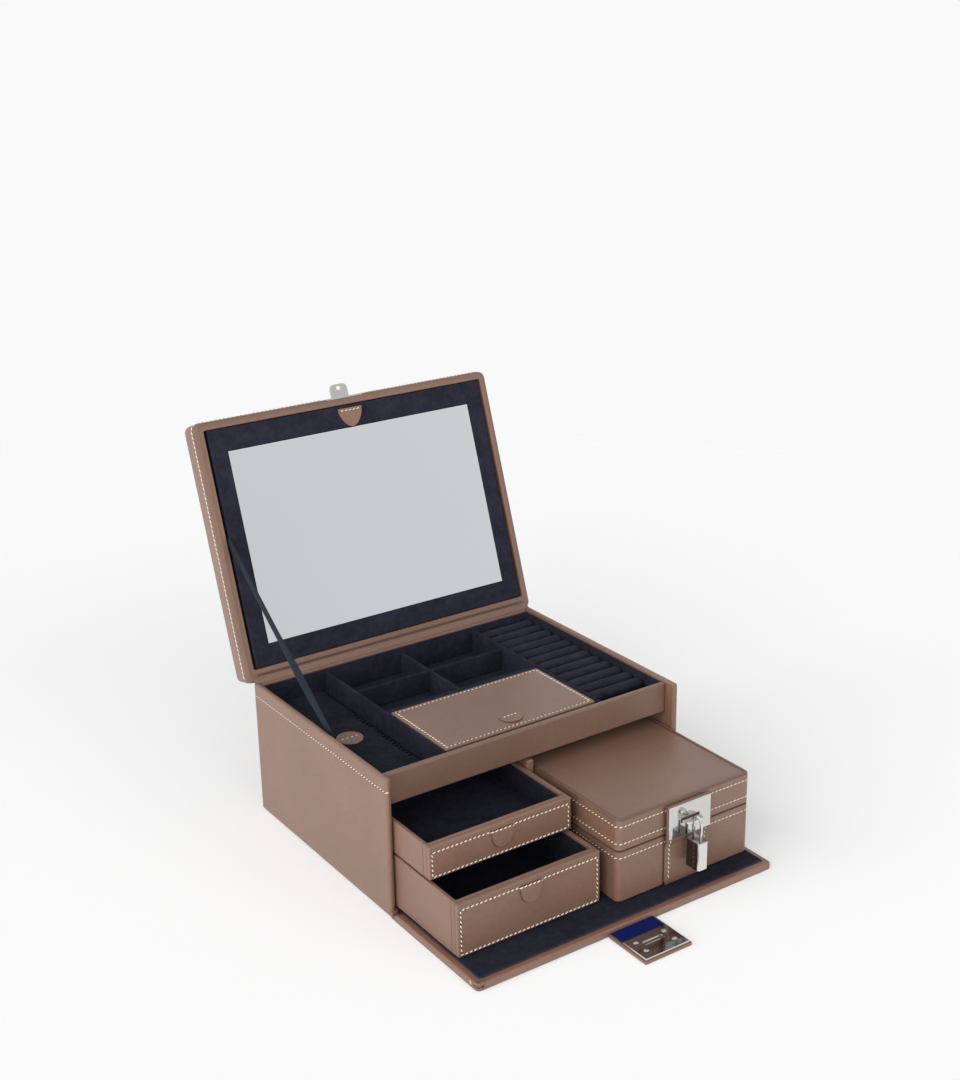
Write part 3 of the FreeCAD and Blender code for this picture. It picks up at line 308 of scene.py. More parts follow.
LID_HINGE = joint("lid_hinge")
LID_TURN = math.radians(LID_HINGE["range_deg"][0])
LID_RISE = np.array([0, -math.cos(LID_TURN), -math.sin(LID_TURN)])
LID_DEPTH = np.cross(LID_RISE, RIGHT)
LID = Place(LID_HINGE["pos_m"], RIGHT, LID_RISE, LID_DEPTH)
LID_EDGE = Place(LID_HINGE["pos_m"], RIGHT, LID_DEPTH, LID_RISE)
QUARTERS = np.array([(1, 1), (-1, 1), (-1, -1), (1, -1)])


def rounded(low, high, radius, steps=5, creases=(), crease=None):
    """A rounded rectangle as a function of its inset: four arcs whose radius shrinks with the inset.
    A crease is a notch at a height on the left (-1) or right (1) side, of the half width and depth given."""
    low = np.array(low[:2], float)
    high = np.array(high[:2], float)
    turn = np.arange(4)[:, None] * math.pi / 2 + np.linspace(0, math.pi / 2, steps + 1)
    way = np.stack([np.cos(turn), np.sin(turn)], -1)
    radius = np.broadcast_to(np.asarray(radius, float), 4)
    wide, deep = crease or (0, 0)

    def notches(side, inset):
        heights = sorted(height for where, height in creases if where == side)
        levels = np.array([[height - wide, height, height + wide] for height in heights]).reshape(-1)
        sunk = np.tile([0, deep, 0], len(heights)) + inset
        across = high[0] - sunk if side > 0 else low[0] + sunk
        return np.column_stack([across, levels])

    def at(inset):
        arc = np.maximum(radius - inset, SHARP)[:, None]
        centre = (low + high) / 2 + QUARTERS * ((high - low) / 2 - inset - arc)
        corners = centre[:, None] + way * arc[:, None]
        return np.vstack([corners[0], corners[1], notches(-1, inset)[::-1], corners[2], corners[3],
                          notches(1, inset)])

    plain = np.zeros(2 * (steps + 1))
    dents = [np.tile([0, deep > 0, 0], sum(where == side for where, _ in creases)) for side in (-1, 1)]
    at.seam = np.concatenate([plain, dents[0], plain, dents[1]])
    return at


def traced(points):
    """A closed outline through given points as a function of its inset along the outline's own normals."""
    points = np.asarray(points, float)
    step = np.roll(points, -1, 0) - np.roll(points, 1, 0)
    normal = np.column_stack([step[:, 1], -step[:, 0]])
    normal /= np.linalg.norm(normal, axis=1)[:, None]
    area = np.sum(points[:, 0] * np.roll(points[:, 1], -1) - np.roll(points[:, 0], -1) * points[:, 1])
    return lambda inset: points - normal * inset * np.sign(area)


def hole_in(outline, centre, radius):
    """A round hole as a function of its inset, its points facing those of the outline round it."""
    spokes = outline(0) - centre
    spokes /= np.linalg.norm(spokes, axis=1)[:, None]
    return lambda inset: centre + spokes * (radius - inset)


def tab_outline(low, high, power, steps=22):
    """Outline of a leather pull tab: a straight sewn edge and |x/a|^p + (y/b)^p = 1 below it."""
    width, reach = (high - low)[:2]
    turn = np.linspace(0, math.pi, steps + 1)
    across = np.sign(np.cos(turn)) * np.abs(np.cos(turn)) ** (2 / power) * width / 2
    down = -np.abs(np.sin(turn)) ** (2 / power) * reach
    return traced(np.column_stack([across, down])[::-1] + [(low[0] + high[0]) / 2, high[1]])


def strip_section(width, thickness, radius, steps=3):
    """Section of a flat strip: a rounded rectangle about its middle."""
    half = np.array([width, thickness]) / 2
    return rounded(-half, half, radius, steps=steps)(0)


# Profiles: rows of outline, inset, level and wear, where wear is 1 on a rubbed edge and -1 in a seam; the
# same value also carries painted shade (below zero) and painted highlights on suede (above zero)

def bend(outline, start, corner, end, steps=4, wear=0.25):
    """A quarter ellipse from start to end, tangent to the two legs that meet at the corner."""
    turn = np.linspace(0, math.pi / 2, steps + 1)[:, None]
    start, corner, end = (np.array(pair, float) for pair in (start, corner, end))
    rows = corner + (start - corner) * (1 - np.sin(turn)) + (end - corner) * (1 - np.cos(turn))
    rubbed = wear * np.sin(2 * turn[:, 0])
    return [(outline, inset, level, worn) for (inset, level), worn in zip(rows, rubbed)]


def onto_wall(outline, level, fold, rise, steps=4, wear=0.25):
    """An edge rounded from a face at a level, a fold inside the outline, to the wall, a rise above it."""
    return bend(outline, (fold, level), (0, level), (0, level + rise), steps, wear)


def onto_face(outline, level, fold, rise, steps=4, wear=0.25):
    """An edge rounded the other way, from the wall to the face at the level."""
    return bend(outline, (0, level + rise), (0, level), (fold, level), steps, wear)


def groove(outline, level, inset=0.0, depth=1.0):
    """A line pressed into an upright wall, its depth a share of the usual one."""
    sewing = settings().sewing
    return [(outline, inset + sewing.groove * depth * sunk, level + sewing.groove_width * across, worn)
            for across, sunk, worn in PRESSED_LINE]


def top_groove(outline, inset, level):
    """A line pressed into a level face."""
    sewing = settings().sewing
    wide, deep = sewing.groove_width, sewing.groove
    return [(outline, inset - wide, level, 0), (outline, inset, level - deep, -0.8),
            (outline, inset + wide, level, 0)]


def slab(outline, low, high, radius, wear=0.25):
    """A board between two levels, its lower and upper edges rounded."""
    return (onto_wall(outline, low, radius, radius, wear=wear)
            + onto_face(outline, high, radius, -radius, wear=wear))


def vessel(outer, inner, low, floor, rim, radius, lip, grooves=(), wear=0.25):
    """An open box: outside wall with its grooves, rounded rim, inside wall and floor."""
    up = 1 if rim > low else -1
    rows = onto_wall(outer, low, radius, up * radius)
    for level in grooves:
        rows += groove(outer, level)[::up]
    rows += onto_face(outer, rim, lip, -up * lip, wear=wear)
    rows += onto_wall(inner, rim, -lip, -up * lip)
    # The inside wall's foot is darkened: painted shade in the corner.
    return rows + onto_face(inner, floor, lip, up * lip, wear=-0.6)


def lining(low, high, corner, hollow_corner, lip=0.45 * MM, steps=5):
    """Rows of a card lining in the box given: an open box with walls and a floor of one thickness."""
    outer = rounded(low, high, corner, steps=steps)
    hollow = rounded(low[:2] + CARD, high[:2] - CARD, hollow_corner, steps=steps)
    return vessel(outer, hollow, low[2], low[2] + CARD, high[2], 0.2 * MM, lip)


def with_painted_shade(rows, painted_shade):
    """The same rows with their wear lowered all over, which paints shade on them; a negative value paints
    light.
    """
    return [(outline, inset, level, worn - painted_shade) for outline, inset, level, worn in rows]


# Meshes

class Skin:
    """Vertices, faces and wear, which also carries painted light and shade, of one closed shape."""

    def __init__(self, points, wear, looped=False):
        rows, count = points.shape[:2]
        self.vertices = points.reshape(-1, 3)
        self.wear = np.asarray(wear, float).reshape(-1)
        grid = np.arange(rows * count).reshape(rows, count)
        lower = grid if looped else grid[:-1]
        upper = np.roll(grid, -1, 0) if looped else grid[1:]
        quads = np.stack([lower, np.roll(lower, -1, 1), np.roll(upper, -1, 1), upper], -1).reshape(-1, 4)
        self.faces = quads.tolist()
        if not looped:
            self.faces += [grid[0][::-1].tolist(), grid[-1].tolist()]
        if self.volume(quads, [] if looped else [grid[0][::-1], grid[-1]]) < 0:
            self.faces = [face[::-1] for face in self.faces]

    def volume(self, quads, caps):
        """Signed volume, six times over, from fans of triangles."""
        fans = [np.column_stack([np.full(len(cap) - 2, cap[0]), cap[1:-1], cap[2:]]) for cap in caps]
        triangles = np.vstack([quads[:, [0, 1, 2]], quads[:, [0, 2, 3]], *fans])
        middle = self.vertices.mean(0)
        a, b, c = (self.vertices[triangles[:, k]] - middle for k in range(3))
        return np.sum(np.cross(a, b) * c)


def carried(place, rows, looped=False):
    """A skin through rows of outlines at their insets and levels; looped joins the last row to the first."""
    rings = [at_level(outline(inset), level) for outline, inset, level, _ in rows]
    wear = [np.full(len(ring), row[3]) - getattr(row[0], "seam", 0) for ring, row in zip(rings, rows)]
    return Skin(place.world(np.stack(rings)), np.stack(wear), looped)


def swept(path, across, outward, section, wear=0.0):
    """A skin whose section is carried along a path, square to it: x along across and y along outward."""
    across, outward = (np.broadcast_to(way, path.shape)[:, None] for way in (across, outward))
    rings = path[:, None] + section[None, :, :1] * across + section[None, :, 1:] * outward
    return Skin(rings, np.broadcast_to(wear, rings.shape[:2]))


def added(name, data):
    """An object with the given data, in the scene."""
    made = bpy.data.objects.new(name, data)
    bpy.context.scene.collection.objects.link(made)
    return made


def piece(name, skins, kind, body, *stands_for, slot=None, flat=True):
    """A mesh object of one or more skins in one finish, riding on a body and standing for CAD nodes."""
    skins = skins if isinstance(skins, list) else [skins]
    starts = np.cumsum([0] + [len(skin.vertices) for skin in skins])
    vertices = np.vstack([skin.vertices for skin in skins])
    faces = [[start + corner for corner in face] for start, skin in zip(starts, skins) for face in skin.faces]
    mesh = bpy.data.meshes.new(name)
    mesh.from_pydata(vertices.tolist(), [], faces)
    wear = mesh.attributes.new("wear", "FLOAT", "POINT")
    wear.data.foreach_set("value", np.concatenate([skin.wear for skin in skins]).astype(np.float32))
    mesh.shade_smooth()
    mesh.materials.append(finish(kind))
    made = added(name, mesh)
    if flat:
        made.modifiers.new("even shading", "WEIGHTED_NORMAL").weight = 90
    if body:
        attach(made, body)
    if stands_for:
        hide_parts(*stands_for)
    return made


def cover(node, skins, kind, body, ending=None, flat=True):
    """The piece that stands for a CAD node, named for the node and its finish."""
    return piece(f"{node}_{ending or ENDINGS.get(kind, kind)}", skins, kind, body, node, flat=flat)


def board(node):
    """A wrapped board in the box of a CAD node, as the table of boards gives it."""
    body, kind, place, rounding, wear, painted_shade = BOARDS[node]
    low, high = place.extent(node)
    radius = rounding * MM
    skin = carried(place, slab(rounded(low, high, radius), low[2], high[2], radius, wear))
    # Painted shade darkens the whole board: on the front rail it stands for the shade that falls on it.
    skin.wear -= painted_shade
    return cover(node, skin, kind, body)


# Stitching

def stitch_shape(thickness, bite):
    """One stitch: a thread that rises out of the leather, lies over it and dives in again.
    Over its length u from -1 to 1 it is as thick as the root of 1 - u^4 and as high as half a sine wave."""
    sewing = settings().sewing
    points, blunt, rise, sunk = 6, 0.05, 1.25, 0.65
    along = np.linspace(0, 1, points)
    turn = np.linspace(0, 2 * math.pi, points, endpoint=False)
    radius = thickness / 2
    thick = radius * np.sqrt(np.clip(1 + blunt - (2 * along - 1) ** 4, 2 * blunt, 1))
    height = radius * (rise * np.sin(math.pi * along) - sunk)
    x = np.broadcast_to((along[:, None] - 0.5) * sewing.pitch * bite, (points, points))
    y = thick[:, None] * np.cos(turn)
    z = height[:, None] + thick[:, None] * np.sin(turn)
    slanted_x = x * math.cos(sewing.slant) - y * math.sin(sewing.slant)
    slanted_y = x * math.sin(sewing.slant) + y * math.cos(sewing.slant)
    return np.stack([slanted_x, slanted_y, z], -1)


def sew(name, rows, body, kind="thread", thickness=None, bite=None):
    """Rows of even stitches, each row a path of points with the leather's normal at each point."""
    sewing = settings().sewing
    shape = stitch_shape(thickness or sewing.fine_thread, bite or sewing.bite)
    skins = []
    for path, normal in rows:
        path = np.asarray(path, float)
        normal = np.broadcast_to(np.asarray(normal, float), path.shape)
        reach = travelled(path)
        count = max(1, round(reach[-1] / sewing.pitch))
        step = reach[-1] / count
        aim = step * 0.2
        middle = (np.arange(count) + 0.5) * step
        out = unit(read_at(middle, reach, normal))
        ahead = unit(read_at(middle + aim, reach, path) - read_at(middle - aim, reach, path))
        basis = np.stack([ahead, np.cross(out, ahead), out], 1)
        laid = read_at(middle, reach, path)[:, None, None] + np.einsum("ijk,nkl->nijl", shape, basis)
        skins += [Skin(stitch, np.zeros(stitch.shape[:2])) for stitch in laid]
    return piece(name, skins, kind, body, slot="leather", flat=False)


def round_trip(place, outline, inset, level):
    """A closed row on a level face: the outline at an inset."""
    flat = outline(inset)
    return place.world(at_level(np.vstack([flat, flat[:1]]), level)), place.axes[2]


def belt(place, outline, level):
    """A closed row round an upright wall, with the wall's own normals."""
    flat = outline(0.0)
    normal = outline(-1 * MM) - flat
    flat, normal = (np.vstack([rows, rows[:1]]) for rows in (flat, normal))
    return place.world(at_level(flat, level)), at_level(normal, 0) @ place.axes


def across_tab(place, low, high, inset, below, level):
    """A short straight row across a tab, below its sewn edge."""
    y = high[1] - below
    return place.world([(low[0] + inset, y, level), (high[0] - inset, y, level)])


# Materials

class Socket:
    """An output of a shader node; arithmetic on it adds Math nodes."""

    def __init__(self, tree, link=None):
        self.tree = tree
        self.link = link

    def node(self, kind, options, inputs, output=0):
        """Add a node: its settings first, then the values or links of its sockets."""
        made = self.tree.nodes.new(kind)
        for name, value in options.items():
            if name == "stops":
                self.fill(made.color_ramp, value)
            else:
                setattr(made, name, value)
        for name, value in inputs.items():
            if isinstance(value, Socket):
                self.tree.links.new(value.link, made.inputs[name])
            else:
                made.inputs[name].default_value = value
        return Socket(self.tree, made.outputs[output])

    def to_surface(self, kind):
        """Feed this shader to an output node of its tree."""
        output = self.tree.nodes.new(kind)
        self.tree.links.new(self.link, output.inputs["Surface"])

    @staticmethod
    def fill(ramp, stops):
        """Set a ramp's stops: place and grey level."""
        while len(ramp.elements) < len(stops):
            ramp.elements.new(1.0)
        for element, (place, level) in zip(ramp.elements, stops):
            element.position = place
            element.color = (level, level, level, 1)

    def math(self, operation, first, second):
        """A Math node on two values."""
        return self.node("ShaderNodeMath", {"operation": operation}, {0: first, 1: second})

    def __add__(self, other):
        return self.math("ADD", self, other)

    def __sub__(self, other):
        return self.math("SUBTRACT", self, other)

    def __rsub__(self, other):
        return self.math("SUBTRACT", other, self)

    def __mul__(self, other):
        return self.math("MULTIPLY", self, other)

    __radd__ = __add__
    __rmul__ = __mul__

    def over(self, other):
        """The larger of two values."""
        return self.math("MAXIMUM", self, other)

    def ramp(self, *stops):
        """A smooth ramp of grey levels."""
        return self.node("ShaderNodeValToRGB", {"stops": stops}, {"Fac": self})

    def mix(self, first, second):
        """Two colours mixed by this value."""
        options = {"data_type": "RGBA", "clamp_factor": True}
        return self.node("ShaderNodeMix", options, {0: self, 6: first, 7: second}, output=2)

    def noise(self, scale, detail=3.0, rough=0.55):
        """Noise on these coordinates."""
        inputs = {"Vector": self, "Scale": scale, "Detail": detail, "Roughness": rough}
        return self.node("ShaderNodeTexNoise", {}, inputs)

    def bump(self, strength, distance):
        """A normal from this height."""
        return self.node("ShaderNodeBump", {}, {"Height": self, "Strength": strength, "Distance": distance})


def cleared(owner):
    """The emptied node tree of a material or a world."""
    owner.use_nodes = True
    owner.node_tree.nodes.clear()
    return owner.node_tree


def shaded(plain, varying):
    """A material of one Principled shader; varying takes Object coordinates and gives the linked sockets."""
    made = bpy.data.materials.new("dressing")
    tree = cleared(made)
    shader = tree.nodes.new("ShaderNodeBsdfPrincipled")
    Socket(tree, shader.outputs["BSDF"]).to_surface("ShaderNodeOutputMaterial")
    for socket, value in plain.items():
        shader.inputs[socket].default_value = value
    where = Socket(tree).node("ShaderNodeTexCoord", {}, {}, output="Object")
    for socket, value in varying(where).items():
        tree.links.new(value.link, shader.inputs[socket])
    return made


def solid(linear, factor=1.0):
    """A colour times a factor, with its alpha."""
    return (*(factor * part for part in linear), 1.0)


def wear_and_painted_light_of(where):
    """The piece's wear attribute, from -1 in a seam to 1 on a rubbed edge; it also carries painted shade,
    painted highlights and painted dark reflections.
    """
    return where.node("ShaderNodeAttribute", {"attribute_name": "wear"}, {}, output="Fac")


def leather(tone="leather"):
    """Smooth calf: pebble under a broad unevenness, mottled colour, warm rubbed edges, dark seams and painted
    shade.
    """
    colours = settings().finish
    base = getattr(colours, tone)
    taupe = tone == "leather"
    worn = solid(colours.leather_worn) if taupe else solid(base, 1.8)
    seam = solid(colours.leather_seam_and_shade) if taupe else solid(base, 0.4)
    gloss = 0.70 if taupe else 0.12
    stray = 0.0016

    def varying(where):
        grain = 1 / settings().leather.grain
        warp = where.noise(grain * 0.35, 2.0)
        bent = where.node("ShaderNodeVectorMath", {"operation": "MULTIPLY_ADD"},
                          {0: warp, 1: (stray, stray, stray), 2: where})
        inputs = {"Vector": bent, "Scale": grain, "Randomness": 0.9}
        pebble = where.node("ShaderNodeTexVoronoi", {"feature": "DISTANCE_TO_EDGE"}, inputs)
        crease = pebble.ramp((0.0, 0.0), (0.22, 1.0))
        fine = where.noise(grain * 2.6, 4.0)
        broad = where.noise(38.0, 3.0)
        cloud = where.noise(11.0, 4.0, 0.6)
        mottle = where.noise(260.0, 3.0, 0.6)
        wear = wear_and_painted_light_of(where)
        patch = where.noise(140.0, 4.0).ramp((0.36, 0.25), (0.66, 1.0))
        tone_share = (cloud * 0.55 + mottle * 0.45).ramp((0.36, 0.0), (0.64, 1.0))
        skin = tone_share.mix(solid(base, 0.80), solid(base))
        rubbed = (wear.over(0.0) * patch * 0.85).mix(skin, worn)
        # Below zero the wear value mixes in the seam colour: dark seams, and painted shade where a piece or a
        # band is darkened for the shade that falls on it.
        colour_out = ((wear * -1.0).over(0.0) + (1 - crease) * 0.10).mix(rubbed, seam)
        rough = 0.27 + mottle * 0.12 + (1 - crease) * 0.10
        height = crease * 0.38 + fine * 0.25 + broad * 2.0
        return {"Base Color": colour_out, "Roughness": rough, "Normal": height.bump(0.5, 0.00035)}

    return shaded({"IOR": 1.5, "Specular IOR Level": gloss}, varying)


def suede():
    """Brushed suede: nap in patches, fine fibres, lighter on edges that lift the nap and on painted
    highlights, darker under painted shade.
    """
    colours = settings().finish

    def varying(where):
        patch = where.noise(46.0, 3.0, 0.6).ramp((0.40, 0.0), (0.66, 1.0))
        streak = where.noise(210.0, 4.0, 0.65)
        fibre = where.noise(2400.0, 2.0, 0.7)
        wear = wear_and_painted_light_of(where)
        nap = patch * 0.16 + streak.ramp((0.42, 0.0), (0.70, 1.0)) * 0.20 + fibre * 0.36 - 0.02
        # Above zero the wear value lifts the nap on edges and paints highlights; below zero it paints shade.
        nap_and_painted_light = nap + wear.over(0.0) * 0.55 - (wear * -1.0).over(0.0) * 0.5
        tint = nap_and_painted_light.over(0.0).mix(solid(colours.suede), solid(colours.suede_nap_and_highlight))
        height = fibre * 0.6 + streak * 0.8 + patch * 0.5
        return {"Base Color": tint, "Roughness": 0.86 + fibre * 0.1, "Normal": height.bump(0.5, 0.0004)}

    plain = {"IOR": 1.4, "Specular IOR Level": 0.05, "Sheen Weight": 0.03, "Sheen Roughness": 0.55,
             "Sheen Tint": (0.62, 0.66, 0.85, 1.0)}
    return shaded(plain, varying)


def ribbon():
    """Grosgrain ribbon: fine ribs across its length from the piece's own map."""
    base = settings().finish.ribbon

    def varying(where):
        mapped = where.node("ShaderNodeUVMap", {"uv_map": "weave"}, {})
        rib = where.node("ShaderNodeTexWave", {"wave_type": "BANDS", "bands_direction": "Y"},
                         {"Vector": mapped, "Scale": 420.0, "Distortion": 0.0})
        thread = where.noise(900.0, 2.0)
        tint = (rib * 0.45 + thread * 0.4).mix(solid(base), solid(base, 2.1))
        return {"Base Color": tint, "Roughness": 0.62 + thread * 0.12,
                "Normal": (rib + thread * 0.4).bump(0.4, 0.0002)}

    plain = {"Sheen Weight": 0.03, "Sheen Roughness": 0.4, "Specular IOR Level": 0.14}
    return shaded(plain, varying)


def thread(tone="thread"):
    """Waxed linen thread, lit unevenly by its twist."""
    base = getattr(settings().finish, tone)

    def varying(where):
        twist = where.noise(1600.0, 2.0)
        tint = twist.mix(solid(base, 0.72), solid(base))
        return {"Base Color": tint, "Roughness": 0.5 + twist * 0.2, "Normal": twist.bump(0.35, 0.0002)}

    return shaded({"Specular IOR Level": 0.3, "Sheen Weight": 0.1}, varying)


def polished_metal():
    """Polished plate: faint smears and hairlines in its gloss."""
    base = settings().finish.metal

    def varying(where):
        smear = where.noise(120.0, 4.0, 0.6)
        stretched = where.node("ShaderNodeMapping", {}, {"Vector": where, "Scale": (1.0, 1.0, 14.0)})
        hair = stretched.noise(900.0, 2.0)
        bright = smear.mix(solid(base, 0.94), solid(base))
        # Below zero the wear value mixes in a painted dark reflection.
        tint = (wear_and_painted_light_of(where) * -1.0).over(0.0).mix(bright, solid(settings().finish.painted_dark_reflection))
        rough = 0.05 + smear * 0.05 + hair * 0.03
        return {"Base Color": tint, "Roughness": rough, "Normal": smear.bump(0.02, 0.0001)}

    return shaded({"Metallic": 1.0}, varying)


def mirror():
    """Silvered glass, very slightly uneven in its tint."""
    base = settings().finish.mirror

    def varying(where):
        haze = where.noise(5.0, 2.0)
        return {"Base Color": haze.mix(solid(base, 0.97), solid(base)),
                "Roughness": 0.008 + haze * 0.012}

    return shaded({"Metallic": 1.0}, varying)


MAKERS = {
    "leather": leather,
    "blue_leather": lambda: leather("blue_leather"),
    "suede": suede,
    "ribbon": ribbon,
    "thread": thread,
    "dark_thread": lambda: thread("dark_thread"),
    "polished_metal": polished_metal,
    "mirror": mirror,
}


def finish(name):
    """A finish's material, made the first time that it is asked for."""
    known = f"dressed_{name}"
    if known not in bpy.data.materials:
        MAKERS[name]().name = known
    return bpy.data.materials[known]


def dress_node(node, kind):
    """Give a CAD node that isn't replaced its finish."""
    mesh = frame["nodes"][node].data
    mesh.materials.clear()
    mesh.materials.append(finish(kind))


# Operators

class Maker(bpy.types.Operator):
    """Make some pieces of the jewellery box."""

    bl_options = {"REGISTER", "UNDO"}

    def execute(self, context):
        """Make the pieces; an error stops the script."""
        self.make(context.scene.jewellery_box)
        return {"FINISHED"}


class MakeCase(Maker):
    """Side walls with their stitch rows, back, base, front rail, bay divider and drawer shelf."""

    bl_idname = "jewellery_box.case"
    bl_label = "Case"

    def make(self, box):
        """Walls are sections carried from front to back."""
        wrap = box.leather.wrap
        crease = (box.sewing.groove_width, box.sewing.groove)
        rows = []
        for node, side in (("left_side_board", -1), ("right_side_board", 1)):
            low, high = ALONG_Y.extent(node)
            level = high[1] - box.leather.wall_row
            outline = rounded(low, high, wrap, creases=[(side, level)], crease=crease)
            skin = carried(ALONG_Y, slab(outline, low[2], high[2], wrap))
            cover(node, skin, "leather", "case")
            rows.append(self.wall_row(low, high, side, level, wrap, box.sewing.groove))
        sew("case_stitches", rows, "case")
        for node in ("back_board", "base_board", "front_rail", "bay_divider", "drawer_shelf", "floor_lining"):
            board(node)

    @staticmethod
    def wall_row(low, high, side, level, wrap, deep):
        """Row along a wall's outside, round its front edge and across the edge's face."""
        sunk = deep * WALL_ROW_DEPTH
        face = high[0] - sunk if side > 0 else low[0] + sunk
        inner = low[0] + wrap if side > 0 else high[0] - wrap
        turn = np.linspace(0, math.pi / 2, 6)
        x = np.concatenate([[face], face - side * wrap * (1 - np.cos(turn)), [inner]])
        y = np.concatenate([[high[2] - wrap], low[2] + wrap * (1 - np.sin(turn)), [low[2]]])
        normal_x = np.concatenate([[side], side * np.cos(turn), [0]])
        normal_y = np.concatenate([[0], -np.sin(turn), [-1]])
        return at_level(np.column_stack([x, y]), level), at_level(np.column_stack([normal_x, normal_y]), 0)


class MakeTray(Maker):
    """Lined top tray with its suede covered dividers."""

    bl_idname = "jewellery_box.tray"
    bl_label = "Top tray"

    def make(self, box):
        """The lining is an open box and each divider a section with a rounded top."""
        board("tray_floor")
        rows = lining(*FLAT.extent("tray_lining"), 0.3 * MM, 1.5 * MM)
        cover("tray_lining", carried(FLAT, rows), "suede", "case")
        for node in ("left_divider", "right_divider", "grid_middle_divider", "compartment_divider"):
            board(node)
        low, high = ALONG_X.extent("grid_cross_divider")
        reach = ALONG_Y.extent("grid_middle_divider")[1][0]
        outline = rounded(low, high, 1.4 * MM)
        halves = [carried(ALONG_X, slab(outline, start, end, 0.2 * MM))
                  for start, end in ((low[2], -reach), (reach, high[2]))]
        cover("grid_cross_divider", halves, "suede", "case")


class MakeCompartment(Maker):
    """Stitched compartment lid with its pull tab, hinge strip and ledge."""

    bl_idname = "jewellery_box.compartment"
    bl_label = "Compartment lid"

    def make(self, box):
        """The lid is a wrapped board with a line pressed in for its stitches and a low crown."""
        low, high = FLAT.extent("compartment_lid")
        row, fold = box.leather.pad_row, 1.1 * MM
        crown, crown_reach = 0.5 * MM, 30 * MM
        outline = rounded(low, high, 2.0 * MM)
        rows = slab(outline, low[2], high[2], fold) + top_groove(outline, row, high[2])
        start = row + box.sewing.groove_width
        rows += [(outline, start + part * crown_reach, high[2] + crown * (1 - (1 - part) ** 2), 0)
                 for part in np.linspace(0.1, 1, 6)]
        cover("compartment_lid", carried(FLAT, rows), "leather", "compartment_cover")
        lid_row = round_trip(FLAT, outline, row, high[2] - box.sewing.groove * ROW_DEPTH)
        low, high = FLAT.extent("compartment_tab")
        raised = 0.3 * MM
        rows = slab(tab_outline(low, high, 2.2), low[2] + raised, high[2] + raised, box.leather.edge)
        cover("compartment_tab", carried(FLAT, rows), "leather", "compartment_cover")
        tab_row = across_tab(FLAT, low, high, 3 * MM, 1.6 * MM, high[2] + 0.2 * MM)
        sew("compartment_stitches", [lid_row, (tab_row, UP)], "compartment_cover")
        board("compartment_hinge_strip")
        board("compartment_ledge")


class MakeRingRolls(Maker):
    """Foam bed and the twelve ring rolls on it."""

    bl_idname = "jewellery_box.ring_rolls"
    bl_label = "Ring rolls"

    def make(self, box):
        """Each roll is a half round of suede over foam, drawn in at its ends and a little uneven."""
        board("ring_bed")
        low, high = FLAT.extent("ring_rolls")
        count, width = 12, 13.2 * MM
        drawn_in, end_reach, fullest = 0.62, 6 * MM, 1.03
        pitch = (high[1] - low[1] - width) / (count - 1)
        along = np.linspace(0, 1, 33)
        turn = np.linspace(0, math.pi, 17)
        end = np.minimum(along, 1 - along) * (high[0] - low[0]) / end_reach
        full = drawn_in + (1 - drawn_in) * np.sqrt(1 - (1 - np.clip(end, 0, 1)) ** 2)
        across = np.cos(turn) * (width / 2) * fullest
        rise = np.sin(turn) ** 0.86 * (high[2] - low[2])
        # Painted light and shade: each roll is lighter along its top and darker toward its foot, where it
        # meets the next.
        nap = np.sin(turn) ** 3 * 0.35 - (1 - np.sin(turn)) ** 2 * 0.9
        skins = []
        for index in range(count):
            wave = 1 + 0.018 * np.sin(11 * along + 2.1 * index) + 0.012 * np.sin(27 * along + 0.7 * index)
            size = (full * wave)[:, None]
            y = low[1] + width / 2 + index * pitch + across * (0.25 + 0.75 * size)
            z = low[2] + rise * np.minimum(size, fullest)
            x = np.broadcast_to((low[0] + along * (high[0] - low[0]))[:, None], y.shape)
            skins.append(Skin(np.stack([x, y, z], -1), np.broadcast_to(nap, y.shape)))
        rolls = cover("ring_rolls", skins, "suede", "case", flat=False)


class MakeNecklaceBay(Maker):
    """Notched necklace panel with its leather disc, and the ledges under it."""

    bl_idname = "jewellery_box.necklace_bay"
    bl_label = "Necklace bay"

    def make(self, box):
        """The panel's right edge is cut by two groups of narrow notches."""
        low, high = FLAT.extent("necklace_panel")
        pitch, wide, deep = 4.9 * MM, 2.4 * MM, 3.0 * MM
        groups = ((40 * MM, 11), (101 * MM, 6))
        starts = low[1] + np.concatenate([first + pitch * np.arange(count) for first, count in groups])
        notch = ((0, 0), (deep, 0), (deep, wide), (0, wide))
        teeth = np.stack([np.column_stack([np.full(len(starts), high[0] - back), starts + along])
                          for back, along in notch], 1).reshape(-1, 2)
        outline = traced([(high[0], low[1]), *teeth, high[:2], (low[0], high[1]), low[:2]])
        # The panel is darkened all over: painted shade.
        rows = with_painted_shade(slab(outline, low[2], high[2], 0.35 * MM), 0.15)
        cover("necklace_panel", carried(FLAT, rows), "suede", "necklace_tray")
        low, high = FLAT.extent("necklace_disc")
        disc = rounded(low, high, (high[0] - low[0]) / 2, steps=10)
        rows = slab(disc, low[2], high[2], box.leather.edge)
        cover("necklace_disc", carried(FLAT, rows), "leather", "necklace_tray")
        middle = np.append((low + high)[:2] / 2, high[2] - 0.05 * MM)
        reach = RIGHT * 8.6 * MM
        sew("necklace_disc_stitches", [(np.array([middle - reach, middle + reach]), UP)], "necklace_tray")
        dress_node("necklace_ledges", "suede")


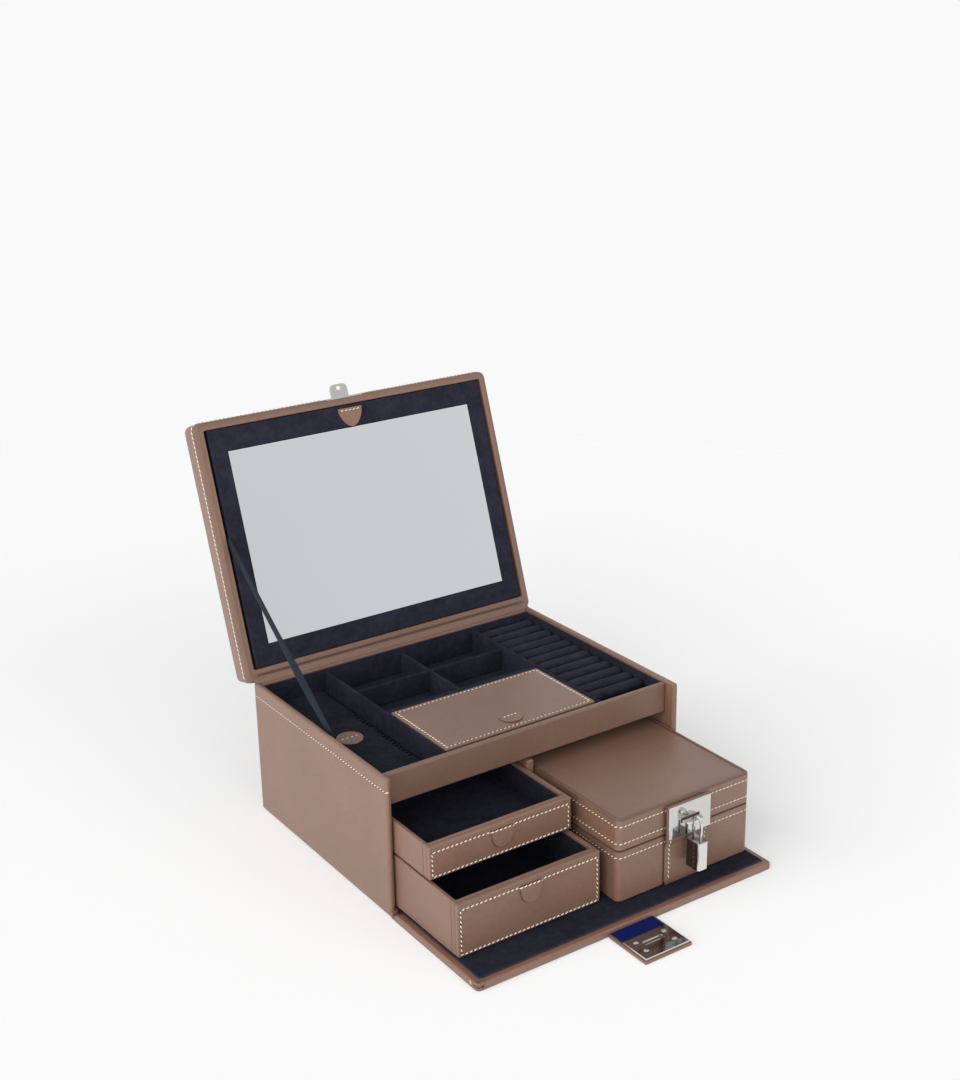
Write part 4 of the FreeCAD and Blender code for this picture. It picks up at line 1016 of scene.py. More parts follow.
class MakeLid(Maker):
    """Lid shell with its creases and stitch row, the hinge leather and the staple."""

    bl_idname = "jewellery_box.lid"
    bl_label = "Lid"

    def make(self, box):
        """The shell is an open box whose hollow leaves a wide band along the hinge."""
        low, high = LID.extent("lid_shell")
        panel_low, panel_high = LID.extent("mirror_panel")
        style = box.leather
        gap = np.array([2.6 * MM, 0.6 * MM])
        wide = np.array([style.lid_overhang, 0])
        front_corner, hinge_corner = 5 * MM, 4 * MM
        outer = rounded(low[:2] - wide, high[:2] + wide,
                        (front_corner, front_corner, hinge_corner, hinge_corner))
        inner = rounded(panel_low[:2] - gap, panel_high[:2] + gap, 1.2 * MM)
        lip, rim, roof = 1.0 * MM, 0.1 * MM, 3.5 * MM

        def puffed(level):
            """Two parabolas over the level: how far the padded side stands out, widest at the stitch row."""
            reach = style.lid_row if level < style.lid_row else high[2] - style.lid_row
            return -style.lid_swell * (1 - ((level - style.lid_row) / reach) ** 2)

        def plain(top, foot, margin):
            """The padded side between two lines, clear of both by a margin."""
            return [(outer, puffed(level), level, 0) for level in np.linspace(top - margin, foot + margin, 4)]

        def pressed(level, depth):
            """A line pressed into the padded side."""
            return groove(outer, level, puffed(level), depth)[::-1]

        shoulder = high[2] - style.lid_shoulder
        rows = bend(outer, (style.lid_shoulder, high[2]), (puffed(shoulder), high[2]),
                    (puffed(shoulder), shoulder), 8)
        rows += plain(shoulder, style.lid_row, 2 * MM) + pressed(style.lid_row, 0.6)
        rows += plain(style.lid_row, style.lid_crease, 1.5 * MM) + pressed(style.lid_crease, 1.5)
        rows += pressed(style.lid_bead, 1.5)
        rows += onto_face(outer, rim, lip, lip, wear=-0.15)
        # Painted shade: the rolled side from the rim up to the stitch row is darkened.
        rows = [(outline, inset, level, worn - style.lid_painted_shade * (level < style.lid_row))
                for outline, inset, level, worn in rows]
        # Inside wall and floor of the hollow are darkened: painted shade in the gap round the mirror panel.
        rows += onto_wall(inner, rim, -lip, lip, wear=-0.3)
        rows.append((inner, 0, high[2] - roof, -0.5))
        cover("lid_shell", carried(LID, rows), "leather", "lid")
        raised = puffed(style.lid_row) - 0.15 * MM
        sewn = self.rows_to_staple(lambda inset: outer(inset + raised), style.lid_row)
        sew("lid_stitches", sewn, "lid", thickness=box.sewing.lid_thread, bite=box.sewing.close_bite)
        self.make_hinge(box)
        make_staple("lid_staple", LID, LID_EDGE, "lid", box.fitting, 1)

    @staticmethod
    def rows_to_staple(outline, level):
        """Two stitch rows, each from a hinge end round a front corner to the staple's base plate."""
        foot, clear = 3 * MM, 1.5 * MM
        staple_low, staple_high = LID.extent("lid_staple")
        flat = outline(0.0)
        normal = at_level(outline(-1 * MM) - flat, 0) @ LID.axes
        count = len(flat) // 4
        right, left = np.arange(count), np.arange(count, 2 * count)
        ends = [(right, (flat[0, 0], foot), (staple_high[0] + clear, flat[count - 1, 1])),
                (left, (staple_low[0] - clear, flat[count, 1]), (flat[2 * count - 1, 0], foot))]
        rows = []
        for corner, start, end in ends:
            points = np.vstack([start, flat[corner], end])
            rows.append((LID.world(at_level(points, level)), normal[np.r_[corner[0], corner, corner[-1]]]))
        return rows

    @staticmethod
    def make_hinge(box):
        """Leather that lies up the lid's band, turns at the hinge and lies over the back board."""
        thick, steps = 0.45 * MM, 25
        seam, spread, narrowed = 4.6 * MM, 1.3 * MM, 0.997
        # Painted shade all over the band and at the hinge's crease, and a darker seam line.
        painted_shade, seam_shade, crease_shade = 0.12, 0.72, 0.25
        low, high = FLAT.extent("lid_hinge_leather")
        back_low, back_high = FLAT.extent("back_board")
        levels = np.linspace(LID.extent("lid_hinge_leather")[1][1], 2.4 * MM, steps)
        lid_part = LID.world(at_level(np.column_stack([np.zeros(steps), levels]), -thick / 2))
        crease = np.array(LID_HINGE["pos_m"]) + [0, -0.9 * MM, -0.2 * MM]
        y = np.linspace(back_high[1] - 2.2 * MM, back_low[1] + 0.6 * MM, 4)
        case_part = at_level(np.column_stack([np.zeros(len(y)), y]), back_high[2] + thick / 2)
        path = np.vstack([lid_part, crease, case_part])
        across = np.tile(RIGHT, (len(path), 1))
        across[steps - 1:steps + 2] *= narrowed * LID.extent("lid_shell")[1][0] / high[0]
        worn = np.full(len(path), -painted_shade)
        worn[:steps] -= seam_shade * np.exp(-((levels - seam) / spread) ** 4)
        worn[steps] = -crease_shade
        section = strip_section(high[0] - low[0], thick, thick * 0.45)
        skin = swept(path, across, np.cross(tangents(path), RIGHT), section, worn[:, None])
        strip = cover("lid_hinge_leather", skin, "leather", None, "band", flat=False)
        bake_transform(strip)
        middle = LID.world((0, seam, -thick + 0.1 * MM))
        reach = RIGHT * (high[0] - 3 * MM)
        sew("lid_hinge_stitches", [(np.array([middle - reach, middle + reach]), -LID_DEPTH)], "lid",
            "dark_thread", thickness=box.sewing.hinge_thread)


def make_staple(node, flat_place, edge_place, body, fitting, outward):
    """A staple: an eased base plate and a tongue with a round hole, which points outward (1) or back (-1)."""
    low, high = edge_place.extent(node)
    middle = (low + high) / 2
    root, tip = (low[2], high[2])[::outward]
    base_levels = sorted((root, root + outward * fitting.staple_base))
    base = carried(edge_place, slab(rounded(low, high, 1.0 * MM), *base_levels, fitting.ease))
    half, thick = fitting.tongue_width / 2, fitting.tongue_thickness / 2
    corners = [fitting.tongue_corner, fitting.tongue_corner, SHARP, SHARP][::outward]
    outer = rounded((middle[0] - half, low[2]), (middle[0] + half, high[2]), corners)
    hole = hole_in(outer, np.array([middle[0], tip - outward * fitting.hole_edge]), fitting.hole / 2)
    rows = pierced(outer, hole, middle[1] - thick, middle[1] + thick, fitting.ease)
    cover(node, [base, carried(flat_place, rows, looped=True)], "polished_metal", body)


def pierced(outer, inner, low, high, ease, bevel=0.0):
    """Rows of a plate with a hole: outside edges, upper face, hole and back to the lower face."""
    rows = onto_wall(outer, low, ease, ease, 2, 0)
    if bevel > ease:
        rows += [(outer, bevel * part, high - bevel * (1 - part), 0) for part in (0, 0.12, 0.88, 1)]
    else:
        rows += onto_face(outer, high, ease, -ease, 2, 0)
    rows += onto_wall(inner, high, -ease, -ease, 2, 0)
    return rows + onto_face(inner, low, -ease, ease, 2, 0)


def slot_in(low, high, fitting, shift=0.0):
    """Outline of the slot in a plate, moved off the plate's middle by a shift."""
    middle = (low + high)[:2] / 2 + [0, shift]
    half = np.array([fitting.slot_width, fitting.slot_height]) / 2
    return rounded(middle - half, middle + half, 0.9 * MM)


class MakeMirror(Maker):
    """Suede mirror panel, the mirror in it and its leather tab."""

    bl_idname = "jewellery_box.mirror"
    bl_label = "Mirror panel"

    def make(self, box):
        """The panel is a wrapped board with a recess, and the glass has a ground edge."""
        low, high = LID.extent("mirror_panel")
        pane_low, pane_high = LID.extent("mirror_glass")
        fold, front_fold, slack, ground = 0.4 * MM, 1.1 * MM, 0.15 * MM, 0.7 * MM
        outer = rounded(low, high, 1.2 * MM)
        recess = rounded(pane_low - slack, pane_high + slack, fold)
        rows = onto_wall(outer, high[2], fold, -fold, 2, 0)
        rows += onto_face(outer, low[2], front_fold, front_fold)
        rows += onto_wall(recess, low[2], -fold, fold, 3, 0.3)
        rows.append((recess, 0, pane_high[2] + 0.05 * MM, 0))
        # The panel is lightened all over: painted light, as it faces the lamps.
        cover("mirror_panel", carried(LID, with_painted_shade(rows, -0.14)), "suede", "mirror")
        pane = rounded(pane_low, pane_high, 0.3 * MM)
        rows = [(pane, 0, pane_high[2], 0), (pane, 0, pane_low[2] + ground / 2, 0),
                (pane, ground, pane_low[2], 0)]
        cover("mirror_glass", carried(LID, rows), "mirror", "mirror")
        low, high = LID.extent("mirror_tab")
        rows = slab(tab_outline(low, high, 1.75), low[2], high[2], box.leather.edge)
        cover("mirror_tab", carried(LID, rows), "leather", "mirror")
        row = across_tab(LID, low, high, 2 * MM, 2 * MM, low[2] + 0.1 * MM)
        sew("mirror_tab_stitches", [(row, -LID_DEPTH)], "mirror")


class MakeStay(Maker):
    """Ribbon stay between the lid and the case."""

    bl_idname = "jewellery_box.stay"
    bl_label = "Ribbon stay"

    def make(self, box):
        """A flat ribbon pulled nearly straight, with a slight belly and a slight twist in its lower half."""
        points = points_of("stay_ribbon")
        middle = np.median(points[:, 2])
        upper, lower = points[points[:, 2] > middle].mean(0), points[points[:, 2] < middle].mean(0)
        width, thick = 8 * MM, 0.6 * MM
        belly, twist, twisted = 1.2 * MM, math.radians(17), 0.55
        along = np.linspace(0, 1, 41)
        sag = np.sin(math.pi * along)[:, None] * np.array([0.0, 0.6, -1.0]) * belly
        path = lower + (upper - lower) * along[:, None] + sag
        ahead = unit(upper - lower)
        turn = twist * np.sin(math.pi * np.minimum(along / twisted, 1))[:, None] ** 2
        level = unit(np.cross(RIGHT, ahead))
        across = level * np.cos(turn) + np.cross(ahead, level) * np.sin(turn)
        section = strip_section(width, thick, thick * 0.4, steps=2)
        skin = swept(path, across, np.cross(ahead, across), section)
        strip = cover("stay_ribbon", skin, "ribbon", None, flat=False)
        weave = strip.data.uv_layers.new(name="weave")
        corners = np.zeros(len(strip.data.loops), np.int32)
        strip.data.loops.foreach_get("vertex_index", corners)
        ring, spot = np.divmod(corners, len(section))
        placed = np.column_stack([section[spot, 0], along[ring] * np.linalg.norm(upper - lower)])
        weave.data.foreach_set("uv", placed.astype(np.float32).ravel())
        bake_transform(strip)


class MakeDrawers(Maker):
    """Both drawers: leather box, suede lining, stitched front and hanging tab."""

    bl_idname = "jewellery_box.drawers"
    bl_label = "Drawers"

    def make(self, box):
        """Each drawer is an open box with a crease behind its front, which is sewn round its edge."""
        for drawer in ("upper_drawer", "lower_drawer"):
            self.make_drawer(drawer, box)

    @staticmethod
    def make_drawer(drawer, box):
        """One drawer."""
        style, sewing = box.leather, box.sewing
        low, high = FLAT.extent(f"{drawer}_box")
        inside_low, inside_high = FLAT.extent(f"{drawer}_lining")
        creases = [(side, low[1] + style.drawer_crease) for side in (-1, 1)]
        half_wide, deep = sewing.groove_width * 0.7, sewing.groove * 1.2
        outer = rounded(low, high, 0.9 * MM, creases=creases, crease=(half_wide, deep))
        inner = rounded(inside_low, inside_high, 0.8 * MM, creases=creases, crease=(half_wide, 0.0))
        rows = vessel(outer, inner, low[2], inside_low[2], high[2], 0.8 * MM, 0.9 * MM)
        cover(f"{drawer}_box", carried(FLAT, rows), "leather", drawer)
        # The lining is darkened all over: painted shade inside the drawer.
        rows = with_painted_shade(lining(inside_low, inside_high, 0.5 * MM, 1.5 * MM), 0.25)
        cover(f"{drawer}_lining", carried(FLAT, rows), "suede", drawer)
        low, high = FRONTAL.extent(f"{drawer}_front")
        outline = rounded(low, high, 1.0 * MM)
        sewn = rounded(low[:2] + [style.front_row, style.front_row_foot],
                       high[:2] - [style.front_row, style.front_row_top], 0.9 * MM)
        face, rear_fold, fold = high[2], 0.8 * MM, 1.1 * MM
        rows = onto_wall(outline, low[2], rear_fold, rear_fold, wear=-1.0)
        rows += onto_face(outline, face, fold, -fold)
        rows += top_groove(sewn, 0.0, face)
        cover(f"{drawer}_front", carried(FRONTAL, rows), "leather", drawer)
        tab_low, tab_high = FRONTAL.extent(f"{drawer}_tab")
        # The tab's edges are darkened: painted shade round the hanging tab.
        rows = slab(tab_outline(tab_low, tab_high, 2.5), tab_low[2] - 0.1 * MM, tab_high[2], style.edge, -0.9)
        tab = carried(FRONTAL, rows)
        hang = np.clip((tab_high[1] - tab.vertices[:, 2]) / (tab_high[1] - tab_low[1]) - 0.25, 0, 1)
        tab.vertices[:, 1] -= style.tab_lift * hang ** 1.3
        cover(f"{drawer}_tab", tab, "leather", drawer)
        path, normal = round_trip(FRONTAL, sewn, 0.0, face - sewing.groove * ROW_DEPTH)
        path = dense(path)
        over_tab = ((path[:, 2] > (low[1] + high[1]) / 2) & (path[:, 0] > tab_low[0])
                    & (path[:, 0] < tab_high[0]))
        path[over_tab, 1] = -(tab_high[2] - 0.05 * MM)
        sew(f"{drawer}_stitches", [(path, normal)], drawer, thickness=sewing.thread)


def dense(path, step=0.5 * MM):
    """A path with points every half millimetre."""
    reach = travelled(path)
    return read_at(np.linspace(0, reach[-1], int(reach[-1] / step) + 1), reach, path)


class MakeCasket(Maker):
    """Casket base and lid with their stitch rows, linings and hinge leather."""

    bl_idname = "jewellery_box.casket"
    bl_label = "Casket"

    def make(self, box):
        """Base and lid are open boxes with round corners; a welt runs round the lid's top."""
        style = box.leather
        corner, inner_corner, steps = 5 * MM, 3 * MM, 8
        lined_low, lined_high = FLAT.extent("casket_lining")
        low, high = FLAT.extent("casket_base")
        outer = rounded(low, high, corner, steps=steps)
        inner = rounded(lined_low, lined_high, inner_corner, steps=steps)
        base_row = high[2] - style.casket_base_row
        rows = vessel(outer, inner, low[2], lined_low[2], high[2], 1.5 * MM, 1.1 * MM, [base_row], -0.9)
        cover("casket_base", carried(FLAT, rows), "leather", "casket")
        depth = box.sewing.groove * WALL_ROW_DEPTH
        sunk = rounded(low[:2] + depth, high[:2] - depth, corner, steps=steps)
        sew("casket_base_stitches", [belt(FLAT, sunk, base_row)], "casket")
        rows = lining(lined_low, lined_high - UP * 0.1 * MM, inner_corner, 2 * MM, 0.4 * MM, steps)
        cover("casket_lining", carried(FLAT, rows), "suede", "casket")
        self.make_lid(style, outer, inner, sunk)
        self.make_hinge()

    @staticmethod
    def make_lid(style, outer, inner, sunk):
        """The lid: a low crown inside a welt, two pressed lines and a hollow."""
        low, high = FLAT.extent("casket_lid")
        roof = FLAT.extent("casket_lid_lining")[1][2]
        welt, crown_reach, crown, dip = style.casket_welt, 40 * MM, 0.7 * MM, 0.9 * MM
        fold, inner_fold = 1.1 * MM, 0.8 * MM
        rows = [(outer, welt + part * crown_reach, high[2] - dip + crown * part * (2 - part), 0)
                for part in np.linspace(1, 0.04, 7)]
        # The seam inside the welt, and the welt's inner and outer sides
        rows += [(outer, welt, high[2] - 1.1 * MM, -1.0), (outer, welt - 0.35 * MM, high[2] - 0.5 * MM, -0.4)]
        rows += onto_wall(outer, high[2], welt - 0.8 * MM, -2.0 * MM, 6, -0.6)
        levels = (high[2] - style.casket_top_row, low[2] + style.casket_low_row)
        for level in levels:
            rows += groove(outer, level)[::-1]
        rows += onto_face(outer, low[2], fold, fold, wear=-0.9)
        rows += onto_wall(inner, low[2], -inner_fold, inner_fold)
        rows.append((inner, 0, roof, 0))
        cover("casket_lid", carried(FLAT, rows), "leather", "casket_cover")
        sew("casket_lid_stitches", [belt(FLAT, sunk, level) for level in levels], "casket_cover")
        board("casket_lid_lining")

    @staticmethod
    def make_hinge():
        """A leather strip over the casket's rear seam."""
        low, high = FLAT.extent("casket_hinge_leather")
        levels = np.linspace(low[2], high[2], 13)
        path = (low + high) / 2 * [1, 1, 0] + levels[:, None] * UP
        section = strip_section(*(high - low)[:2], 0.35 * MM)
        strip = cover("casket_hinge_leather", swept(path, RIGHT, BACK, section), "leather", None, "strip",
                      flat=False)
        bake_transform(strip)


class MakeCasketHasp(Maker):
    """Strap on the casket's front, its slotted plate and the staple through it."""

    bl_idname = "jewellery_box.casket_hasp"
    bl_label = "Casket hasp"

    def make(self, box):
        """The strap lies flat below and comes forward in a soft bend to carry the plate."""
        low, high = FLAT.extent("casket_strap")
        plate_foot = FRONTAL.extent("casket_plate")[0][1]
        thick, margin = 2.0 * MM, 0.6 * MM
        near, far = FLAT.extent("casket_base")[0][1] - thick / 2, low[1] + thick / 2
        start, end = plate_foot - 7.2 * MM, plate_foot - 0.8 * MM
        levels = np.concatenate([np.linspace(low[2] + margin, start, 8), np.linspace(start, end, 12)[1:],
                                 np.linspace(end, high[2] - margin, 6)[1:]])
        ease = np.clip((levels - start) / (end - start), 0, 1)
        ease = ease * ease * (3 - 2 * ease)
        middle = np.full(len(levels), (low[0] + high[0]) / 2)
        path = np.column_stack([middle, near + (far - near) * ease, levels])
        half = (high[0] - low[0]) / 2
        section = strip_section(2 * half, thick, 0.9 * MM, steps=4)
        # The strap's edges are darkened: painted shade along its raised edges.
        worn = np.where(np.abs(section[:, 0]) > half - 0.5 * MM, -0.75, 0.0)
        strap = swept(path, RIGHT, np.cross(RIGHT, tangents(path)), section, worn)
        cover("casket_strap", strap, "leather", "casket")
        sewn = path[(levels < plate_foot + 1 * MM) & (levels > low[2] + 2 * MM)]
        face = np.cross(RIGHT, tangents(sewn))
        face *= np.sign(-face[:, 1:2])
        inset, lift = half - box.leather.strap_row, thick / 2 - 0.05 * MM
        rows = [(sewn + face * lift + RIGHT * side * inset, face) for side in (-1, 1)]
        sew("casket_strap_stitches", rows, "casket")
        make_plate("casket_plate", FRONTAL, "casket", box.fitting, painted_dark_reflection=0.14)
        make_staple("casket_staple", FLAT, ALONG_Y, "casket_cover", box.fitting, -1)


def make_plate(node, place, body, fitting, shift=0.0, painted_dark_reflection=0.0):
    """A slotted plate with a polished bevel; a painted dark reflection darkens its face."""
    low, high = place.extent(node)
    slot = slot_in(low, high, fitting, shift)
    rows = [(outline, inset, level, -painted_dark_reflection if level == high[2] else 0) for outline, inset, level, _ in
            pierced(rounded(low, high, 0.5 * MM), slot, low[2], high[2], fitting.ease, fitting.bevel)]
    cover(node, carried(place, rows, looped=True), "polished_metal", body)


class MakePadlock(Maker):
    """Padlock body and shackle."""

    bl_idname = "jewellery_box.padlock"
    bl_label = "Padlock"

    def make(self, box):
        """The body is an eight-sided block with eased edges and the shackle a bent rod."""
        low, high = FLAT.extent("padlock_body")
        cut, dark_reflection_strength = box.fitting.padlock_bevel, 0.9
        middle, half = (low + high)[:2] / 2, (high - low)[:2] / 2
        corners = []
        for signs in QUARTERS:
            edge = middle + signs * half
            pair = [edge - signs * [0, cut], edge - signs * [cut, 0]]
            corners += pair[::signs[0] * signs[1]]
        corners = self.eased(np.array(corners), 0.35 * MM)
        outline = traced(corners)
        # The wide side faces carry a painted dark reflection of the shaded leather before them.
        outline.seam = dark_reflection_strength * (np.abs(corners[:, 0] - middle[0]) > half[0] - 0.1 * MM)
        rows = slab(outline, low[2], high[2], 0.5 * MM, 0)
        body = cover("padlock_body", carried(FLAT, rows), "polished_metal", "padlock")
        body.modifiers["even shading"].weight = 50
        self.make_shackle()

    @staticmethod
    def make_shackle():
        """A round rod along two straight legs and the half circle between them."""
        low, high = FLAT.extent("padlock_shackle")
        radius = (high[0] - low[0]) / 2
        bow = (high[1] - low[1]) / 2 - radius
        middle = (low + high) / 2
        foot, spring = low[2], high[2] - radius - bow
        leg = spring - 1 * MM
        turn = np.linspace(0, math.pi, 25)
        y = np.concatenate([[bow, bow], bow * np.cos(turn), [-bow, -bow]]) + middle[1]
        z = np.concatenate([[foot, leg], spring + bow * np.sin(turn), [leg, foot]])
        path = np.column_stack([np.full(len(y), middle[0]), y, z])
        spin = np.linspace(0, 2 * math.pi, 20, endpoint=False)
        section = radius * np.column_stack([np.cos(spin), np.sin(spin)])
        rod = swept(path, RIGHT, np.cross(tangents(path), RIGHT), section)
        cover("padlock_shackle", rod, "polished_metal", "padlock", flat=False)

    @staticmethod
    def eased(corners, ease):
        """Each corner of a polygon replaced by two points a little along its sides."""
        sides = [unit(np.roll(corners, shift, 0) - corners) for shift in (1, -1)]
        return np.stack([corners + side * ease for side in sides], 1).reshape(-1, 2)


class MakeFallFront(Maker):
    """Fall front, its lining, and the leather and suede that cross its hinge."""

    bl_idname = "jewellery_box.fall_front"
    bl_label = "Fall front"

    def make(self, box):
        """The board's leather rolls over its edge and the lining lies on it with a soft edge."""
        low, high = FLAT.extent("flap_board")
        front_corner, hinge_corner, fold = 3.5 * MM, 1.2 * MM, 0.8 * MM
        outline = rounded(low, high, (hinge_corner, hinge_corner, front_corner, front_corner))
        rim = FLAT.extent("flap_lining")[0][1] - low[1]
        rows = onto_wall(outline, low[2], fold, fold)
        # A roll over the edge, then rubbed leather up to the lining
        rows += bend(outline, (0, high[2] - 2.2 * MM), (0, high[2] - 0.5 * MM),
                     (1.1 * MM, high[2] - 0.4 * MM), 5, 0)
        rows += [(outline, rim * part, high[2] - 0.3 * MM * (1 - part), 2.2)
                 for part in (0.28, 0.5, 0.75, 1.0)]
        ear = self.corner_fold(low[0], low[1], high[2], rim)
        cover("flap_board", [carried(FLAT, rows), ear], "leather", "fall_front")
        end = np.array([(low[0] - 0.1 * MM, low[1] + rim * 1.75, high[2] - lift * MM) for lift in (3.6, 0.7)])
        sew("flap_corner_stitches", [(end, (-1, 0, 0.3))], "fall_front")
        low, high = FLAT.extent("flap_lining")
        outline = rounded(low, high, 1.0 * MM)
        foot, lip = low[2] - 0.2 * MM, high[2] + 0.15 * MM
        rows = bend(outline, (0.4 * MM, foot), (0, foot), (0, low[2]), 2, 0)
        # The raised edge is lighter: lifted nap and a painted highlight.
        rows += bend(outline, (0, low[2] + 0.1 * MM), (0, lip), (0.9 * MM, lip), 5, 1.2)
        rows += [(outline, 1.8 * MM, high[2] + 0.05 * MM, 0.3), (outline, 3.2 * MM, high[2], 0)]
        cover("flap_lining", carried(FLAT, rows), "suede", "fall_front")
        self.make_hinge()

    @staticmethod
    def corner_fold(edge, front, top, rim):
        """Leather folded over the left front corner: a low pad with painted shade round its foot and in a
        ring on its top.
        """
        reach = rim * 1.5
        outline = rounded((edge, front), (edge + reach, front + reach), 2.0 * MM)
        crown = top + 0.35 * MM
        rows = [(outline, 0, top - 3.4 * MM, 0), (outline, 0, top - 1.2 * MM, -0.5)]
        rows += bend(outline, (0, top - 0.8 * MM), (0, crown), (1.2 * MM, crown), 5, 0.2)
        rows += [(outline, 2.2 * MM, crown - 0.3 * MM, -0.5), (outline, 3.2 * MM, crown - 0.2 * MM, 0)]
        return carried(FLAT, rows)

    @staticmethod
    def fold_end(side, edge, front, back, top):
        """Leather folded at an end of the hinge: a bar whose upper edge dips to a crease halfway."""
        width, sunk, steps = 5.5 * MM, 2.8 * MM, 15
        reach = np.linspace(0, 1, steps)
        dip = (1 - np.abs(2 * reach - 1)) ** 0.8
        across = sorted((edge, edge - side * width))
        rings = [np.insert(rounded((across[0], 0.1 * MM), (across[1], level), 1.1 * MM)(0), 1,
                           front + part * (back - front), axis=1)
                 for part, level in zip(reach, top - sunk * dip)]
        # Darker toward the dip: painted shade in the crease.
        return Skin(np.stack(rings), np.broadcast_to((-dip ** 2)[:, None], (steps, len(rings[0]))))

    def make_hinge(self):
        """Leather on the table and a suede gusset that sags over it."""
        low, high = FLAT.extent("flap_hinge_leather")
        flap_high = FLAT.extent("flap_board")[1]
        points, lap = 9, 0.2 * MM
        y = flap_high[1] - lap + np.linspace(0, 1, points) * (high[1] + 2 * lap - flap_high[1])
        path = np.column_stack([np.zeros(points), y, np.full(points, (low[2] + high[2]) / 2)])
        thick = high[2] - low[2]
        section = strip_section(high[0] - low[0], thick, thick * 0.4)
        folds = [self.fold_end(side, side * flap_high[0], y[0], y[-1], flap_high[2]) for side in (-1, 1)]
        skins = [swept(path, RIGHT, UP, section), *folds]
        strip = cover("flap_hinge_leather", skins, "leather", None, "strip", flat=False)
        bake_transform(strip)
        floor_low, floor_high = FLAT.extent("floor_lining")
        rear = FLAT.extent("flap_lining")[1]
        sag, thick, lap = 2.6 * MM, 0.7 * MM, 1 * MM
        reach = np.linspace(0, 1, 13)
        y = rear[1] - lap + reach * (floor_low[1] - rear[1] + 2 * lap)
        z = rear[2] - 0.5 * MM + (floor_high[2] - rear[2]) * reach - np.sin(math.pi * reach) ** 0.7 * sag
        path = np.column_stack([np.zeros(len(reach)), y, z])
        section = strip_section(2 * rear[0] - 1 * MM, thick, 0.3 * MM, steps=2)
        gusset = piece("flap_hinge_gusset", swept(path, RIGHT, UP, section), "suede", None, flat=False)
        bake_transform(gusset)


class MakeHasp(Maker):
    """Clasp tab on the fall front: leather, blue lining, slotted plate and screws."""

    bl_idname = "jewellery_box.hasp"
    bl_label = "Clasp tab"

    def make(self, box):
        """The tab is slotted through with its plate, and the screws have low domes with a slot."""
        fitting = box.fitting
        low, high = FLAT.extent("hasp_tab")
        outer = rounded(low, high, 1.2 * MM)
        slot = slot_in(*FLAT.extent("hasp_plate"), fitting, fitting.slot_shift)
        # The slot's walls are darkened: painted shade in the slot.
        rubbed, slot_painted_shade = 0.7, -0.5
        rows = [(outline, inset, level, rubbed if outline is outer else slot_painted_shade) for outline, inset, level, _ in
                pierced(outer, slot, low[2], high[2], 0.5 * MM)]
        cover("hasp_tab", carried(FLAT, rows, looped=True), "leather", "hasp")
        board("hasp_tab_lining")
        make_plate("hasp_plate", FLAT, "hasp", fitting, fitting.slot_shift, painted_dark_reflection=0.6)
        self.make_screws()

    @staticmethod
    def make_screws():
        """Each head is a dome h(1 - (r/R)^2) with a groove across it."""
        low, high = FLAT.extent("hasp_screws")
        radius, height = 2.3 * MM, high[2] - low[2]
        cut, cut_width, dulled = 0.45 * MM, 0.42 * MM, -0.45
        turn = np.linspace(0, 2 * math.pi, 24, endpoint=False)
        share_out = np.array([1.0, 0.98, 0.9, 0.75, 0.55, 0.35, 0.15, 0.04])[:, None]
        across = share_out * np.cos(turn) * radius
        along = share_out * np.sin(turn) * radius
        centres = [(x, y) for x in (low[0] + radius, high[0] - radius)
                   for y in (low[1] + radius, high[1] - radius)]
        skins = []
        for index, (x, y) in enumerate(centres):
            spin = 0.5 + 0.7 * index
            from_slot = np.abs(across * math.sin(spin) - along * math.cos(spin)) / cut_width
            sunk = cut * np.clip(1.6 - from_slot, 0, 1) * (share_out < 0.95)
            level = np.maximum(low[2] + height * (1 - share_out ** 2) - sunk, low[2] + 0.02 * MM)
            level[0] = low[2]
            skins.append(Skin(np.stack([x + across, y + along, level], -1), np.full(across.shape, dulled)))
        cover("hasp_screws", skins, "polished_metal", "hasp", flat=False)


